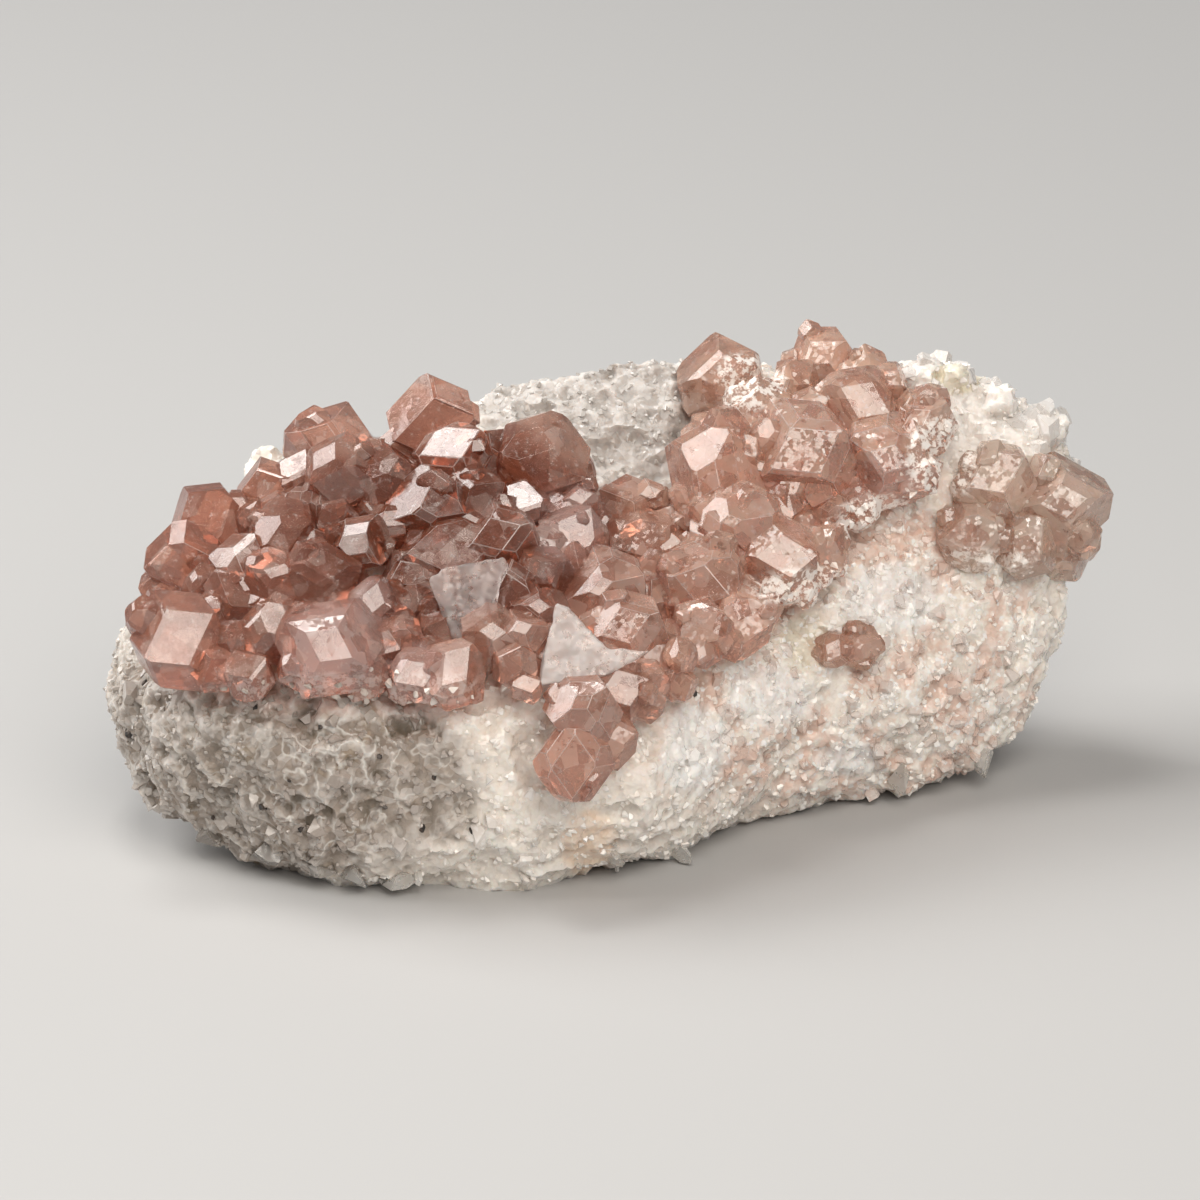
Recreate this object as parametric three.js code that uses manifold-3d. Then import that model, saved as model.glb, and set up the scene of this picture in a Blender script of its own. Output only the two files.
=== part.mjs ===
// A hand specimen of pink grossular garnet: a crust of intergrown crystals on a pale, broken piece
// of granular rock. Millimetres, +Z up. +X runs along the stone, and -Y is the side it is seen from.
// The stone rests on its flat underside at z = 0, with the origin under the middle of its box.
import * as THREE from 'three';
import { ConvexGeometry } from 'three/addons/geometries/ConvexGeometry.js';
import { ImprovedNoise } from 'three/addons/math/ImprovedNoise.js';
import { mergeVertices } from 'three/addons/utils/BufferGeometryUtils.js';
import Module from 'manifold-3d';

const wasm = await Module();
wasm.setup();

// Driving dimensions
const SIGHT_ELEVATION = 20; // degrees above the table, of the line along which the bed is described
const SIGHT_FOOT = 8; // how far in front of y = 0 that line's zero height meets the table
const BOX_CENTRE = [0.515, -0.29]; // where the middle of the finished stone's box falls in these figures
const SEAM = 0.32; // open joint between the crystals and what they grow on
const PLATE_ROOM = 0.5; // how far the crystals stand back from a calcite plate's outline
const LAYER = 0.9; // thickness of the garnet under the crystals of the bed
const BED_BACK = { depth: 0.6, slope: 0.13 }; // how far off the layer ends, and how that grows to the right
const ROCK_STEPS = 33; // rings along the stone
const ROCK_RING = 23; // points round each ring
const ROUGH_COARSE = { size: 4.4, height: 0.9, shift: 3.1 }; // the large lumps of the broken rock
const ROUGH_FINE = { size: 2.1, height: 0.55, shift: 7.7 }; // the small ones
const FACE_SPREAD = 0.34; // how unevenly the faces of one crystal have grown
const EDGE_FACE = { nearest: 1.03, spread: 0.14, from: 1.6 }; // narrow faces along a large crystal's edges
const SEEDS = { ridge: 7, bed: 11, garnet_back: 3, garnet_east: 5, garnet_face: 7 }; // each cluster's stream

// The smaller crystals in the gaps of the bed: how many, their sizes, how far apart they stand, the
// share of their size that they are lifted, their stream, how often a place is tried, the field that
// the places are drawn from, and how far their faces lean.
const FILL = {
  count: 5,
  sizes: [0.9, 1.25],
  apart: 1.55,
  lift: 0.3,
  seed: 41,
  tries: 4000,
  across: [-20, 16],
  up: [6, 23],
  lean: 0.5,
  upward: 0.1,
};

// Working room
const SIGHT_START = 100; // how far in front of the stone a line of sight starts
const SKYLINE_DROP = 6; // how far down the rock is looked for below a crystal on the skyline
const SKYLINE_STEP = 0.25; // in steps of this
const SIGHT_PRISM = 60; // length of the prism that cuts the bed's layer to its outline
const TABLE = { side: 60, deep: 20 }; // what the rock is cut level with
const WELD = 1e-4; // closer corners are one
const FLAT = 1e-4; // planes whose normals fill less than this don't meet in a corner
const OUTSIDE = 1e-5; // a corner this far beyond a plane is outside it

// The rock, as rings across the stone. Each ring gives y and z of eight places, in this order:
// rear foot, front foot, front face, front rim, bed, crest, rear shoulder, rear face.
const ROCK_TIPS = { left: [-20.6, -1.6, 6.2], right: [20.1, 7.6, 11.0] };
const ROCK_RINGS = [
  {
    x: -20,
    ring: [[0.4, 4.8], [-3, 4.4], [-4.2, 5.8], [-4, 7], [-2.4, 7.6], [-0.6, 7.5], [1.6, 6.6], [2.2, 5.6]],
  },
  {
    x: -18,
    ring: [[2.5, 2.4], [-4, 2], [-6.8, 4.8], [-6.6, 7.6], [-3, 9.1], [1, 9.9], [4.6, 8.4], [5.6, 5.4]],
  },
  {
    x: -14,
    ring: [[4.5, 0.4], [-5.3, 0.3], [-9, 4], [-9.2, 8.2], [-4, 10.9], [2, 13.1], [6.8, 11.8], [8, 6]],
  },
  {
    x: -8,
    ring: [[6.5, -0.5], [-7.2, -0.5], [-10, 4], [-9.8, 7.8], [-4, 11], [3.5, 14.8], [8.5, 13.6], [9.8, 6.5]],
  },
  {
    x: -3,
    ring: [
      [7.5, -0.5], [-7.5, -0.5], [-10.2, 4.5], [-8.3, 9.6],
      [-3, 11.4], [4, 14.2], [8.6, 16.4], [10.6, 7],
    ],
  },
  {
    x: 2,
    ring: [[8, -0.5], [-5, -0.4], [-8.6, 4.2], [-7.6, 7.2], [-1.5, 9.7], [3.5, 12.2], [8.3, 17.6], [11, 8]],
  },
  {
    x: 5,
    ring: [[8, -0.5], [-2.5, 0], [-5.5, 4.5], [-4, 8.8], [0.5, 11.6], [6, 15.4], [9.3, 16.9], [11.2, 8]],
  },
  {
    x: 9,
    ring: [[8.5, -0.3], [1, 0.5], [-2, 5], [0, 9.8], [3.5, 13.2], [7.5, 16.5], [10.5, 15], [11.3, 7.5]],
  },
  {
    x: 14,
    ring: [[8.5, 0.8], [2.5, 0.8], [1, 6], [3.8, 13], [6, 15.4], [8.5, 17.1], [10.8, 14.5], [11, 7]],
  },
  {
    x: 18,
    ring: [[9, 3.5], [4.8, 2.2], [3.8, 7], [5, 12.3], [6.8, 14.9], [8.6, 15.8], [10.3, 13.5], [10.4, 8]],
  },
  {
    x: 19.4,
    ring: [[8.6, 7], [6.4, 6], [5.4, 9], [6, 11.8], [7, 13.9], [8.2, 14.7], [9.3, 12.7], [9.4, 10]],
  },
];

// The tilt, to the right and up, of the broad faces that throw the light of an overhead lamp forward
const FLASH = [-0.08, 0.56];

// The crystals by name. at is where the crystal's middle is seen along the line of sight, across and
// up. size is from the middle to a face, lift how far it stands out of the bed towards the eye.
// face is the way its broad face leans, right and up, spin the angle of that face's long diagonal,
// and long how much longer than wide the crystal has grown along it.
const BED_CRYSTALS = [
  { at: [-7, 19.1], size: 1.65, lift: 0.9, face: [0.05, -0.12], spin: 12, long: 1.25 },
  { at: [-6.2, 17.8], size: 1.2, lift: 1.3, face: FLASH, spin: 32, long: 1.3 },
  { at: [-11.3, 18.3], size: 1.6, lift: 0.5, face: [-0.15, 0.15], spin: -20, long: 1.1 },
  { at: [-10.6, 16.9], size: 1.5, lift: 0.9, face: [0.12, -0.22], spin: -8, long: 1.2 },
  { at: [-12.7, 17], size: 0.9, lift: 0.6, face: FLASH, spin: 70, long: 1.3 },
  { at: [-13.8, 16.5], size: 1.1, lift: 0.3, face: [-0.3, 0.1], spin: 15, long: 1.1 },
  { at: [-16.2, 15], size: 1.5, lift: 0.4, face: [-0.2, 0.25], spin: 40, long: 1.1 },
  { at: [-17.1, 13.4], size: 1.35, lift: 0.6, face: [-0.2, -0.2], spin: 10, long: 1.2 },
  { at: [-18, 12.3], size: 1, lift: 0.3, face: [-0.4, 0.2], spin: 0, long: 1 },
  { at: [-17.2, 10.2], size: 1.8, lift: 1.2, face: [0.1, 0.1], spin: 30, long: 1 },
  { at: [-14.7, 13.3], size: 1.2, lift: 0.5, face: [0.3, 0.2], spin: 75, long: 1.1 },
  { at: [-15, 11.9], size: 1, lift: 0.5, face: [0.3, 0.35], spin: -35, long: 1.4 },
  { at: [-12.9, 14.6], size: 1.3, lift: 0.5, face: [-0.1, 0], spin: 20, long: 1 },
  { at: [-13.5, 12.6], size: 1.2, lift: 0.5, face: [0.2, 0.3], spin: -15, long: 1.2 },
  { at: [-13.4, 10.5], size: 1.25, lift: 0.8, face: [-0.35, 0.1], spin: 80, long: 1.15 },
  { at: [-10.95, 9.9], size: 1.75, lift: 1.6, face: [0, 0.06], spin: -28, long: 1.15 },
  { at: [-9.3, 11.8], size: 0.78, lift: 1.7, face: [0.05, 0.1], spin: 75, long: 1.3 },
  { at: [-9.9, 14.2], size: 1.05, lift: 1.1, face: FLASH, spin: 50, long: 1.2 },
  { at: [-11.4, 12.8], size: 1.3, lift: 0.6, face: [0.1, 0.4], spin: 5, long: 1.3 },
  { at: [-7.4, 8.8], size: 0.95, lift: 1.1, face: [0, 0.15], spin: 25, long: 1.25 },
  { at: [-8.8, 16.7], size: 1.4, lift: 0.6, face: [-0.1, -0.1], spin: 55, long: 1 },
  { at: [-7.2, 15.7], size: 1.4, lift: 0.8, face: [0.05, -0.25], spin: 5, long: 1.2 },
  { at: [-5, 16], size: 1.2, lift: 0.7, face: [0.2, -0.05], spin: 40, long: 1 },
  { at: [-6.3, 13.6], size: 1.4, lift: 0.6, face: [0, 0.35], spin: 10, long: 1.4 },
  { at: [-4.2, 14.2], size: 1.3, lift: 0.7, face: [-0.1, 0.3], spin: 20, long: 1.2 },
  { at: [-2.5, 17.6], size: 1.65, lift: 0.8, face: [0.1, -0.05], spin: -18, long: 1.2 },
  { at: [-3.2, 15.8], size: 0.95, lift: 1.1, face: FLASH, spin: -20, long: 1.2 },
  { at: [-0.8, 15.9], size: 0.85, lift: 1.4, face: [0, 0.3], spin: 10, long: 1 },
  { at: [1.2, 15.7], size: 1.3, lift: 0.8, face: [0, 0.72], spin: 8, long: 1.25 },
  { at: [-1.1, 14.4], size: 1.2, lift: 1.1, face: [0.12, 0.28], spin: 60, long: 1.15 },
  { at: [1.8, 14.2], size: 1.3, lift: 0.8, face: [-0.1, 0.15], spin: 20, long: 1.1 },
  { at: [-2.4, 12.9], size: 1.15, lift: 0.6, face: [0.1, 0], spin: 35, long: 1 },
  { at: [-3.8, 12], size: 1.25, lift: 0.7, face: [-0.2, 0.15], spin: 0, long: 1 },
  { at: [0, 12.2], size: 1.5, lift: 0.8, face: [0.05, 0.1], spin: 14, long: 1.2 },
  { at: [1.2, 10.6], size: 1.45, lift: 0.9, face: [-0.05, 0.12], spin: 20, long: 1.1 },
  { at: [3.3, 9.6], size: 0.55, lift: 1.9, face: [-0.1, 0.1], spin: 100, long: 1.5 },
  { at: [4.2, 12.7], size: 1.5, lift: 0.7, face: [0, -0.05], spin: -15, long: 1.1 },
  { at: [4.2, 10.6], size: 1.2, lift: 0.6, face: [-0.1, 0.1], spin: 45, long: 1 },
  { at: [5.8, 11], size: 1.25, lift: 0.6, face: [0.2, 0.05], spin: 0, long: 1 },
  { at: [5.8, 15], size: 1.5, lift: 0.7, face: [-0.1, 0.1], spin: 10, long: 1.1 },
  { at: [4.9, 17.2], size: 1.9, lift: 0.8, face: [-0.15, 0], spin: 65, long: 1 },
  { at: [8.4, 17.9], size: 2.05, lift: 0.9, face: [0.02, 0.02], spin: 30, long: 1 },
  { at: [6.8, 19.7], size: 1.25, lift: 0.6, face: [-0.05, -0.05], spin: 0, long: 1.1 },
  { at: [9.4, 22], size: 1.3, lift: 0.2, face: [-0.1, 0.1], spin: 35, long: 1.15 },
  { at: [11.3, 21.6], size: 0.85, lift: 0.3, face: [0.1, -0.1], spin: 10, long: 1 },
  { at: [10.7, 20], size: 1.5, lift: 0.5, face: [0.15, 0.15], spin: -25, long: 1 },
  { at: [7.5, 13.6], size: 1.6, lift: 0.6, face: [0.05, 0.12], spin: 5, long: 1.05 },
  { at: [9.5, 14.2], size: 0.75, lift: 0.7, face: FLASH, spin: 40, long: 1.2 },
  { at: [11.9, 17.6], size: 1.8, lift: 0.4, face: [0.15, 0.05], spin: -20, long: 1.1 },
  { at: [13.6, 19.2], size: 1.1, lift: 0.5, face: [-0.15, 0.3], spin: 30, long: 1.3 },
  { at: [-5.9, 8.9], size: 1.2, lift: 0.5, face: [0, 0.2], spin: 50, long: 1.2 },
  { at: [-4.6, 10.4], size: 1.2, lift: 0.5, face: [0.1, 0.1], spin: 0, long: 1 },
  { at: [0.9, 8.2], size: 1.15, lift: 0.5, face: [0.2, 0.1], spin: 20, long: 1 },
  { at: [-0.7, 7.4], size: 1.4, lift: 0.6, face: [-0.1, 0.2], spin: 35, long: 1.1 },
  { at: [-1, 5.3], size: 1.3, lift: 0.6, face: [0, -0.1], spin: 90, long: 1.2 },
  { at: [0.5, 6.2], size: 1, lift: 0.4, face: [0.25, 0.1], spin: 10, long: 1 },
];
const BACK_CRYSTALS = [
  { at: [5.1, 21.3], size: 1.5, lift: 0.4, face: [-0.1, 0.1], spin: 8, long: 1.1 },
  { at: [4.2, 20.3], size: 0.7, lift: 0.4, face: [-0.3, 0], spin: 60, long: 1 },
];
const EAST_CRYSTALS = [
  { at: [19.3, 15.9], size: 1.75, lift: 0.5, face: [0.2, 0.1], spin: 8, long: 1.25 },
  { at: [16.7, 16.9], size: 1.4, lift: 0.5, face: [-0.1, 0.2], spin: 25, long: 1.1 },
  { at: [15.6, 14.6], size: 1.3, lift: 0.4, face: [-0.1, 0], spin: 10, long: 1.1 },
  { at: [17.8, 14.2], size: 1.3, lift: 0.5, face: [0.1, 0], spin: 50, long: 1.1 },
  { at: [19.6, 14], size: 1.15, lift: 0.3, face: [0.2, -0.1], spin: 30, long: 1.1 },
];
const FACE_CRYSTALS = [
  { at: [10.7, 10], size: 0.85, lift: 0.2, face: [0.1, 0], spin: 20, long: 1.2 },
  { at: [9.7, 9.8], size: 0.65, lift: 0.2, face: [0, 0.1], spin: 60, long: 1.1 },
];
// White crystals that stand on the rock's ridge and rim, one with the rock
const RIDGE_CRYSTALS = [
  { at: [13.5, 20.9], size: 0.8, lift: 0, face: [-0.1, 0.1], spin: 60, long: 1.4 },
  { at: [15, 20.7], size: 0.7, lift: 0, face: [0.1, 0.1], spin: 80, long: 1.4 },
  { at: [16.6, 20.2], size: 0.75, lift: 0, face: [0.2, 0.1], spin: 40, long: 1.2 },
  { at: [18.7, 19.1], size: 0.75, lift: 0, face: [0.2, 0.2], spin: 20, long: 1.2 },
  { at: [-13.9, 17.3], size: 0.85, lift: 0.6, face: [-0.1, 0.1], spin: 30, long: 1.2 },
];

// The edge of the garnet bed, across and up as seen along the line of sight
const BED_OUTLINE = [
  [-18.8, 10.6], [-18, 14], [-16, 15.6], [-12, 18], [-5, 19.2], [-4, 18.4], [-0.4, 17], [3, 16.4],
  [3.8, 18.2], [7, 20.6], [8.5, 22.4], [11, 22], [15, 19.6], [13.8, 17.2], [10.4, 15.4], [9.6, 13.4],
  [6.8, 11.2], [4.6, 9.2], [1.6, 7.4], [-1, 9.4], [-4, 8.8], [-7, 8], [-12, 8.6], [-18, 8.8],
];

// The two calcite plates that lie on the bed, as outlines about their middle, across and up
const PLATES = [
  {
    name: 'calcite_plate',
    at: [-5.2, 11.3],
    lift: 1.7,
    lean: [-0.12, 0.2],
    thick: 0.6,
    outline: [
      [-1.75, 1.5], [-1.1, 1.9], [1.3, 2.3], [1.5, 2], [1.05, 1],
      [0.85, -0.9], [0.5, -3.1], [-0.5, -1.7], [-1.3, 0],
    ],
  },
  {
    name: 'calcite_blade',
    at: [-0.6, 9.9],
    lift: 1.6,
    lean: [0.1, 0.12],
    thick: 0.5,
    outline: [[-1.2, 1.8], [-0.7, 1.6], [0.9, 0], [2.6, -0.1], [0.8, -1.15], [-1.9, -1.6], [-1.7, -0.2]],
  },
];

// The line of sight along which the crystals are laid on the rock, and the axes of what it sees
const sightTilt = THREE.MathUtils.degToRad(SIGHT_ELEVATION);
const SIGHT = new THREE.Vector3(0, Math.cos(sightTilt), -Math.sin(sightTilt));
const RIGHT = new THREE.Vector3(1, 0, 0);
const UP = new THREE.Vector3(0, Math.sin(sightTilt), Math.cos(sightTilt));

// A repeatable stream of numbers from 0 to 1.
function dice(seed) {
  let state = seed;
  return () => {
    state = (Math.imul(state, 1664525) + 1013904223) >>> 0;
    return state / 2 ** 32;
  };
}

// The next number of a stream, stretched to lie between two others.
function between([low, high], roll) {
  return low + (high - low) * roll();
}

// A place across and up as it is seen, and how far off it is.
function seen(across, up, depth) {
  return new THREE.Vector3()
    .addScaledVector(RIGHT, across)
    .addScaledVector(UP, up - SIGHT_FOOT * UP.y)
    .addScaledVector(SIGHT, depth);
}

// A direction that leans right and up from the one towards the eye.
function leaning([right, up]) {
  const facing = Math.sqrt(1 - right * right - up * up);
  return new THREE.Vector3()
    .addScaledVector(RIGHT, right)
    .addScaledVector(UP, up)
    .addScaledVector(SIGHT, -facing);
}

// A closed geometry as a solid that can be joined and cut.
function solidOf(geometry) {
  const bare = new THREE.BufferGeometry();
  bare.setAttribute('position', geometry.getAttribute('position'));
  if (geometry.index) bare.setIndex(geometry.index);
  const merged = mergeVertices(bare, WELD);
  return new wasm.Manifold(
    new wasm.Mesh({
      numProp: 3,
      vertProperties: Float32Array.from(merged.getAttribute('position').array),
      triVerts: Uint32Array.from(merged.index.array),
    }),
  );
}

// A solid back as a geometry.
function geometryOf(solid) {
  const mesh = solid.getMesh();
  const geometry = new THREE.BufferGeometry();
  geometry.setAttribute('position', new THREE.BufferAttribute(Float32Array.from(mesh.vertProperties), 3));
  geometry.setIndex(new THREE.BufferAttribute(Uint32Array.from(mesh.triVerts), 1));
  return geometry;
}

// The largest of the bodies that a cut has left.
function largestBody(solid) {
  return solid.decompose().reduce((a, b) => (a.volume() > b.volume() ? a : b));
}

// All the solids of a list as one.
function join(solids) {
  return solids.reduce((all, one) => all.add(one));
}

// How far one size of lumps moves a place of the rock outwards.
function lump(noise, { size, height, shift }, p) {
  return height * noise.noise(p.x / size + shift, p.y / size, p.z / size);
}

// The places of the rock's skin, ring after ring, and then its two tips.
function rockPlaces() {
  const noise = new ImprovedNoise();
  const lines = ROCK_RINGS[0].ring.map((_, i) => {
    const places = ROCK_RINGS.map(({ x, ring }) => new THREE.Vector3(x, ...ring[i]));
    return new THREE.CatmullRomCurve3(places, false, 'centripetal');
  });
  const places = [];
  for (let s = 0; s < ROCK_STEPS; s += 1) {
    const corners = lines.map((line) => line.getPoint(s / (ROCK_STEPS - 1)));
    const middle = corners.reduce((sum, p) => sum.add(p), new THREE.Vector3()).divideScalar(corners.length);
    const ring = new THREE.CatmullRomCurve3(corners, true, 'centripetal');
    for (let k = 0; k < ROCK_RING; k += 1) {
      const p = ring.getPoint(k / ROCK_RING);
      const out = p.clone().sub(middle).normalize();
      places.push(p.addScaledVector(out, lump(noise, ROUGH_COARSE, p) + lump(noise, ROUGH_FINE, p)));
    }
  }
  return [...places, new THREE.Vector3(...ROCK_TIPS.left), new THREE.Vector3(...ROCK_TIPS.right)];
}

// The triangles of the rock's skin, as numbers of its places.
function rockFaces() {
  const faces = [];
  const left = ROCK_STEPS * ROCK_RING;
  const last = left - ROCK_RING;
  for (let k = 0; k < ROCK_RING; k += 1) {
    const next = (k + 1) % ROCK_RING;
    for (let start = 0; start < last; start += ROCK_RING) {
      const [a, b] = [start + k, start + next];
      const [c, d] = [a + ROCK_RING, b + ROCK_RING];
      faces.push(a, d, b, a, c, d);
    }
    faces.push(left, k, next, left + 1, last + next, last + k);
  }
  return faces;
}

// The rock's outer form, grown by a distance all round.
function rock(growth = 0) {
  const geometry = new THREE.BufferGeometry().setFromPoints(rockPlaces());
  geometry.setIndex(rockFaces());
  geometry.computeVertexNormals();
  const [place, normal] = [geometry.getAttribute('position'), geometry.getAttribute('normal')];
  const [p, out] = [new THREE.Vector3(), new THREE.Vector3()];
  for (let i = 0; i < place.count; i += 1) {
    p.fromBufferAttribute(place, i).addScaledVector(out.fromBufferAttribute(normal, i), growth);
    place.setXYZ(i, p.x, p.y, p.z);
  }
  return solidOf(geometry);
}

// Where the line of sight through a place across and up meets the rock. A place on the skyline is
// taken as far off as the rock just below it.
function meet(mesh, [across, up]) {
  for (let drop = 0; drop < SKYLINE_DROP; drop += SKYLINE_STEP) {
    const start = seen(across, up - drop, -SIGHT_START);
    const hits = new THREE.Raycaster(start, SIGHT).intersectObject(mesh);
    if (hits.length) return hits[0].point.addScaledVector(UP, drop);
  }
  throw new Error(`no rock near ${across}, ${up}`);
}

// The turn that points a crystal's first face the way it leans and sets that face's long diagonal.
function turnOf(face, spin) {
  const normal = leaning(face);
  const angle = THREE.MathUtils.degToRad(spin);
  const wish = RIGHT.clone().multiplyScalar(Math.cos(angle)).addScaledVector(UP, Math.sin(angle));
  const diagonal = wish.addScaledVector(normal, -wish.dot(normal)).normalize();
  return { normal, diagonal, side: diagonal.clone().cross(normal) };
}

// The outward directions of a garnet's faces: twelve rhombs, then twenty-four along their edges.
function faceDirections() {
  const signs = [-1, 1];
  const rhombs = [];
  const edges = [];
  for (const a of signs) {
    for (const b of signs) {
      rhombs.push([a, b, 0], [a, 0, b], [0, a, b]);
      for (const c of signs) edges.push([2 * a, b, c], [a, 2 * b, c], [a, b, 2 * c]);
    }
  }
  return { rhombs, edges };
}
const FACES = faceDirections();

// Where three planes meet, or nothing where they don't meet in one corner.
function meeting(p, q, r) {
  const [qr, rp, pq] = [[q, r], [r, p], [p, q]].map(([a, b]) => a.normal.clone().cross(b.normal));
  const volume = p.normal.dot(qr);
  if (Math.abs(volume) < FLAT) return null;
  const sum = qr.multiplyScalar(p.distance).addScaledVector(rp, q.distance).addScaledVector(pq, r.distance);
  return sum.divideScalar(volume);
}

// The corners of the space inside a set of planes, each given by its normal and its distance.
function cornersInside(planes) {
  const corners = [];
  const isInside = (point) => planes.every(({ normal, distance }) => normal.dot(point) < distance + OUTSIDE);
  for (let i = 0; i < planes.length; i += 1) {
    for (let j = i + 1; j < planes.length; j += 1) {
      for (let k = j + 1; k < planes.length; k += 1) {
        const point = meeting(planes[i], planes[j], planes[k]);
        if (point && isInside(point)) corners.push(point);
      }
    }
  }
  return corners;
}

// One garnet about its own middle, its faces grown a little unevenly.
function crystal({ size, face, spin, long }, roll) {
  const { normal, diagonal, side } = turnOf(face, spin);
  const turned = ([a, b, c]) => new THREE.Vector3()
    .addScaledVector(normal, (a + b) * Math.SQRT1_2)
    .addScaledVector(diagonal, (a - b) * Math.SQRT1_2)
    .addScaledVector(side, c)
    .normalize();
  const plane = (direction, share) => {
    const way = turned(direction);
    const stretch = Math.sqrt(1 + (long * long - 1) * way.dot(diagonal) ** 2);
    return { normal: way, distance: size * share * stretch };
  };
  const planes = FACES.rhombs.map((direction) => plane(direction, 1 + FACE_SPREAD * (roll() - 0.5)));
  if (size > EDGE_FACE.from) {
    const range = [EDGE_FACE.nearest, EDGE_FACE.nearest + EDGE_FACE.spread];
    planes.push(...FACES.edges.map((direction) => plane(direction, between(range, roll))));
  }
  return solidOf(new ConvexGeometry(cornersInside(planes)));
}

// A crystal where its line of sight meets the rock, lifted towards the eye.
function placed(entry, rockMesh, roll) {
  const made = crystal(entry, roll);
  const spot = meet(rockMesh, entry.at).addScaledVector(SIGHT, -entry.lift);
  return made.translate(spot.toArray());
}

// True where a place lies inside an outline.
function inside([x, y], outline) {
  return outline.reduce((odd, [ax, ay], i) => {
    const [bx, by] = outline[(i + 1) % outline.length];
    const crosses = ay > y !== by > y && x < ax + ((bx - ax) * (y - ay)) / (by - ay);
    return crosses ? !odd : odd;
  }, false);
}

// Smaller crystals in the gaps of the bed.
function fillCrystals() {
  const roll = dice(FILL.seed);
  const taken = [...BED_CRYSTALS, ...PLATES].map(({ at }) => at);
  const made = [];
  for (let tries = 0; made.length < FILL.count && tries < FILL.tries; tries += 1) {
    const at = [between(FILL.across, roll), between(FILL.up, roll)];
    const crowd = taken.some(([across, up]) => Math.hypot(across - at[0], up - at[1]) < FILL.apart);
    const size = between(FILL.sizes, roll);
    const face = [FILL.lean * (roll() - 0.5), FILL.upward + FILL.lean * (roll() - 0.5)];
    const spin = 180 * roll();
    if (crowd || !inside(at, BED_OUTLINE)) continue;
    made.push({ at, size, lift: FILL.lift * size, face, spin, long: 1 });
    taken.push(at);
  }
  return made;
}

// A calcite plate, leaning as its outline is seen. growth makes the room that it needs in the bed.
function plate({ at, lift, lean, thick, outline }, rockMesh, growth = 0) {
  const out = leaning(lean);
  const across = RIGHT.clone().addScaledVector(out, -RIGHT.dot(out)).normalize();
  const upward = out.clone().cross(across);
  const grow = ([x, y]) => new THREE.Vector2(x, y).multiplyScalar(1 + growth / Math.hypot(x, y));
  const shape = new THREE.Shape(outline.map(grow).reverse());
  const depth = thick + 2 * growth;
  const geometry = new THREE.ExtrudeGeometry(shape, { depth, bevelEnabled: false });
  const spot = meet(rockMesh, at).addScaledVector(SIGHT, -lift).addScaledVector(out, -depth / 2);
  const place = new THREE.Matrix4().makeBasis(across, upward, out).setPosition(spot);
  return solidOf(geometry.applyMatrix4(place));
}

// The garnet that joins the crystals of the bed to one another, a layer over the rock.
function layer() {
  const shape = new THREE.Shape(BED_OUTLINE.map(([across, up]) => new THREE.Vector2(across, up)).reverse());
  const geometry = new THREE.ExtrudeGeometry(shape, { depth: SIGHT_PRISM, bevelEnabled: false });
  const far = seen(0, 0, SIGHT_PRISM / 2);
  const place = new THREE.Matrix4().makeBasis(RIGHT, UP, SIGHT.clone().negate()).setPosition(far);
  const front = RIGHT.clone().multiplyScalar(BED_BACK.slope).sub(SIGHT);
  const outlined = solidOf(geometry.applyMatrix4(place));
  return rock(SEAM + LAYER)
    .intersect(outlined)
    .trimByPlane(front.toArray(), -BED_BACK.depth / front.length());
}

// A solid as a mesh that a line of sight can meet.
function target(solid) {
  return new THREE.Mesh(geometryOf(solid));
}

// The crystals of a list as one solid, each standing where its line of sight meets a surface.
function cluster(entries, surface, seed) {
  const roll = dice(seed);
  return join(entries.map((entry) => placed(entry, surface, roll)));
}

// The pieces that the stone is made of
const slab = new THREE.BoxGeometry(TABLE.side, TABLE.side, TABLE.deep).translate(0, 0, -TABLE.deep / 2);
const bareRock = target(rock());
const bedFloor = target(rock(SEAM + LAYER));
const openRidge = RIDGE_CRYSTALS.map((entry) => ({ ...entry, size: entry.size + SEAM }));
const openRock = rock(SEAM).add(cluster(openRidge, bareRock, SEEDS.ridge));
const stone = rock().add(cluster(RIDGE_CRYSTALS, bareRock, SEEDS.ridge)).subtract(solidOf(slab));
const calciteRoom = join(PLATES.map((entry) => plate(entry, bedFloor, PLATE_ROOM)));
const bedCrystals = cluster([...BED_CRYSTALS, ...fillCrystals()], bedFloor, SEEDS.bed);
const crust = layer().add(bedCrystals).subtract(calciteRoom);
const islands = { garnet_back: BACK_CRYSTALS, garnet_east: EAST_CRYSTALS, garnet_face: FACE_CRYSTALS };

const specimen = new THREE.Group();
specimen.position.set(-BOX_CENTRE[0], -BOX_CENTRE[1], 0);

// Adds one named piece in its colour.
function add(name, solid, color, roughness) {
  const material = new THREE.MeshStandardMaterial({ color, roughness, flatShading: true });
  const mesh = new THREE.Mesh(geometryOf(solid), material);
  mesh.name = name;
  specimen.add(mesh);
}

add('matrix', largestBody(stone), 0xd8d2c8, 0.9);
add('garnet_bed', largestBody(crust.subtract(openRock)), 0xb87a6c, 0.2);
Object.entries(islands).forEach(([name, entries]) => {
  add(name, largestBody(cluster(entries, bareRock, SEEDS[name]).subtract(openRock)), 0xc08a70, 0.2);
});
PLATES.forEach((entry) => add(entry.name, plate(entry, bedFloor), 0xe8e4de, 0.4));

export default specimen;
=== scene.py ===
"""The looks of a hand specimen of pink grossular garnet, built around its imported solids.

The stone is a piece of pale, sugary rock. Intergrown garnet crystals cover its front and top, two
calcite plates lie on them, and loose-looking grains and small points stand on the broken rock.
"""
import logging
import math
from contextlib import contextmanager
from dataclasses import dataclass, field
from enum import Enum
from typing import Any, Iterator, Sequence

import bpy
import numpy as np
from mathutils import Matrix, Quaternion, Vector
from mathutils.bvhtree import BVHTree


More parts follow.
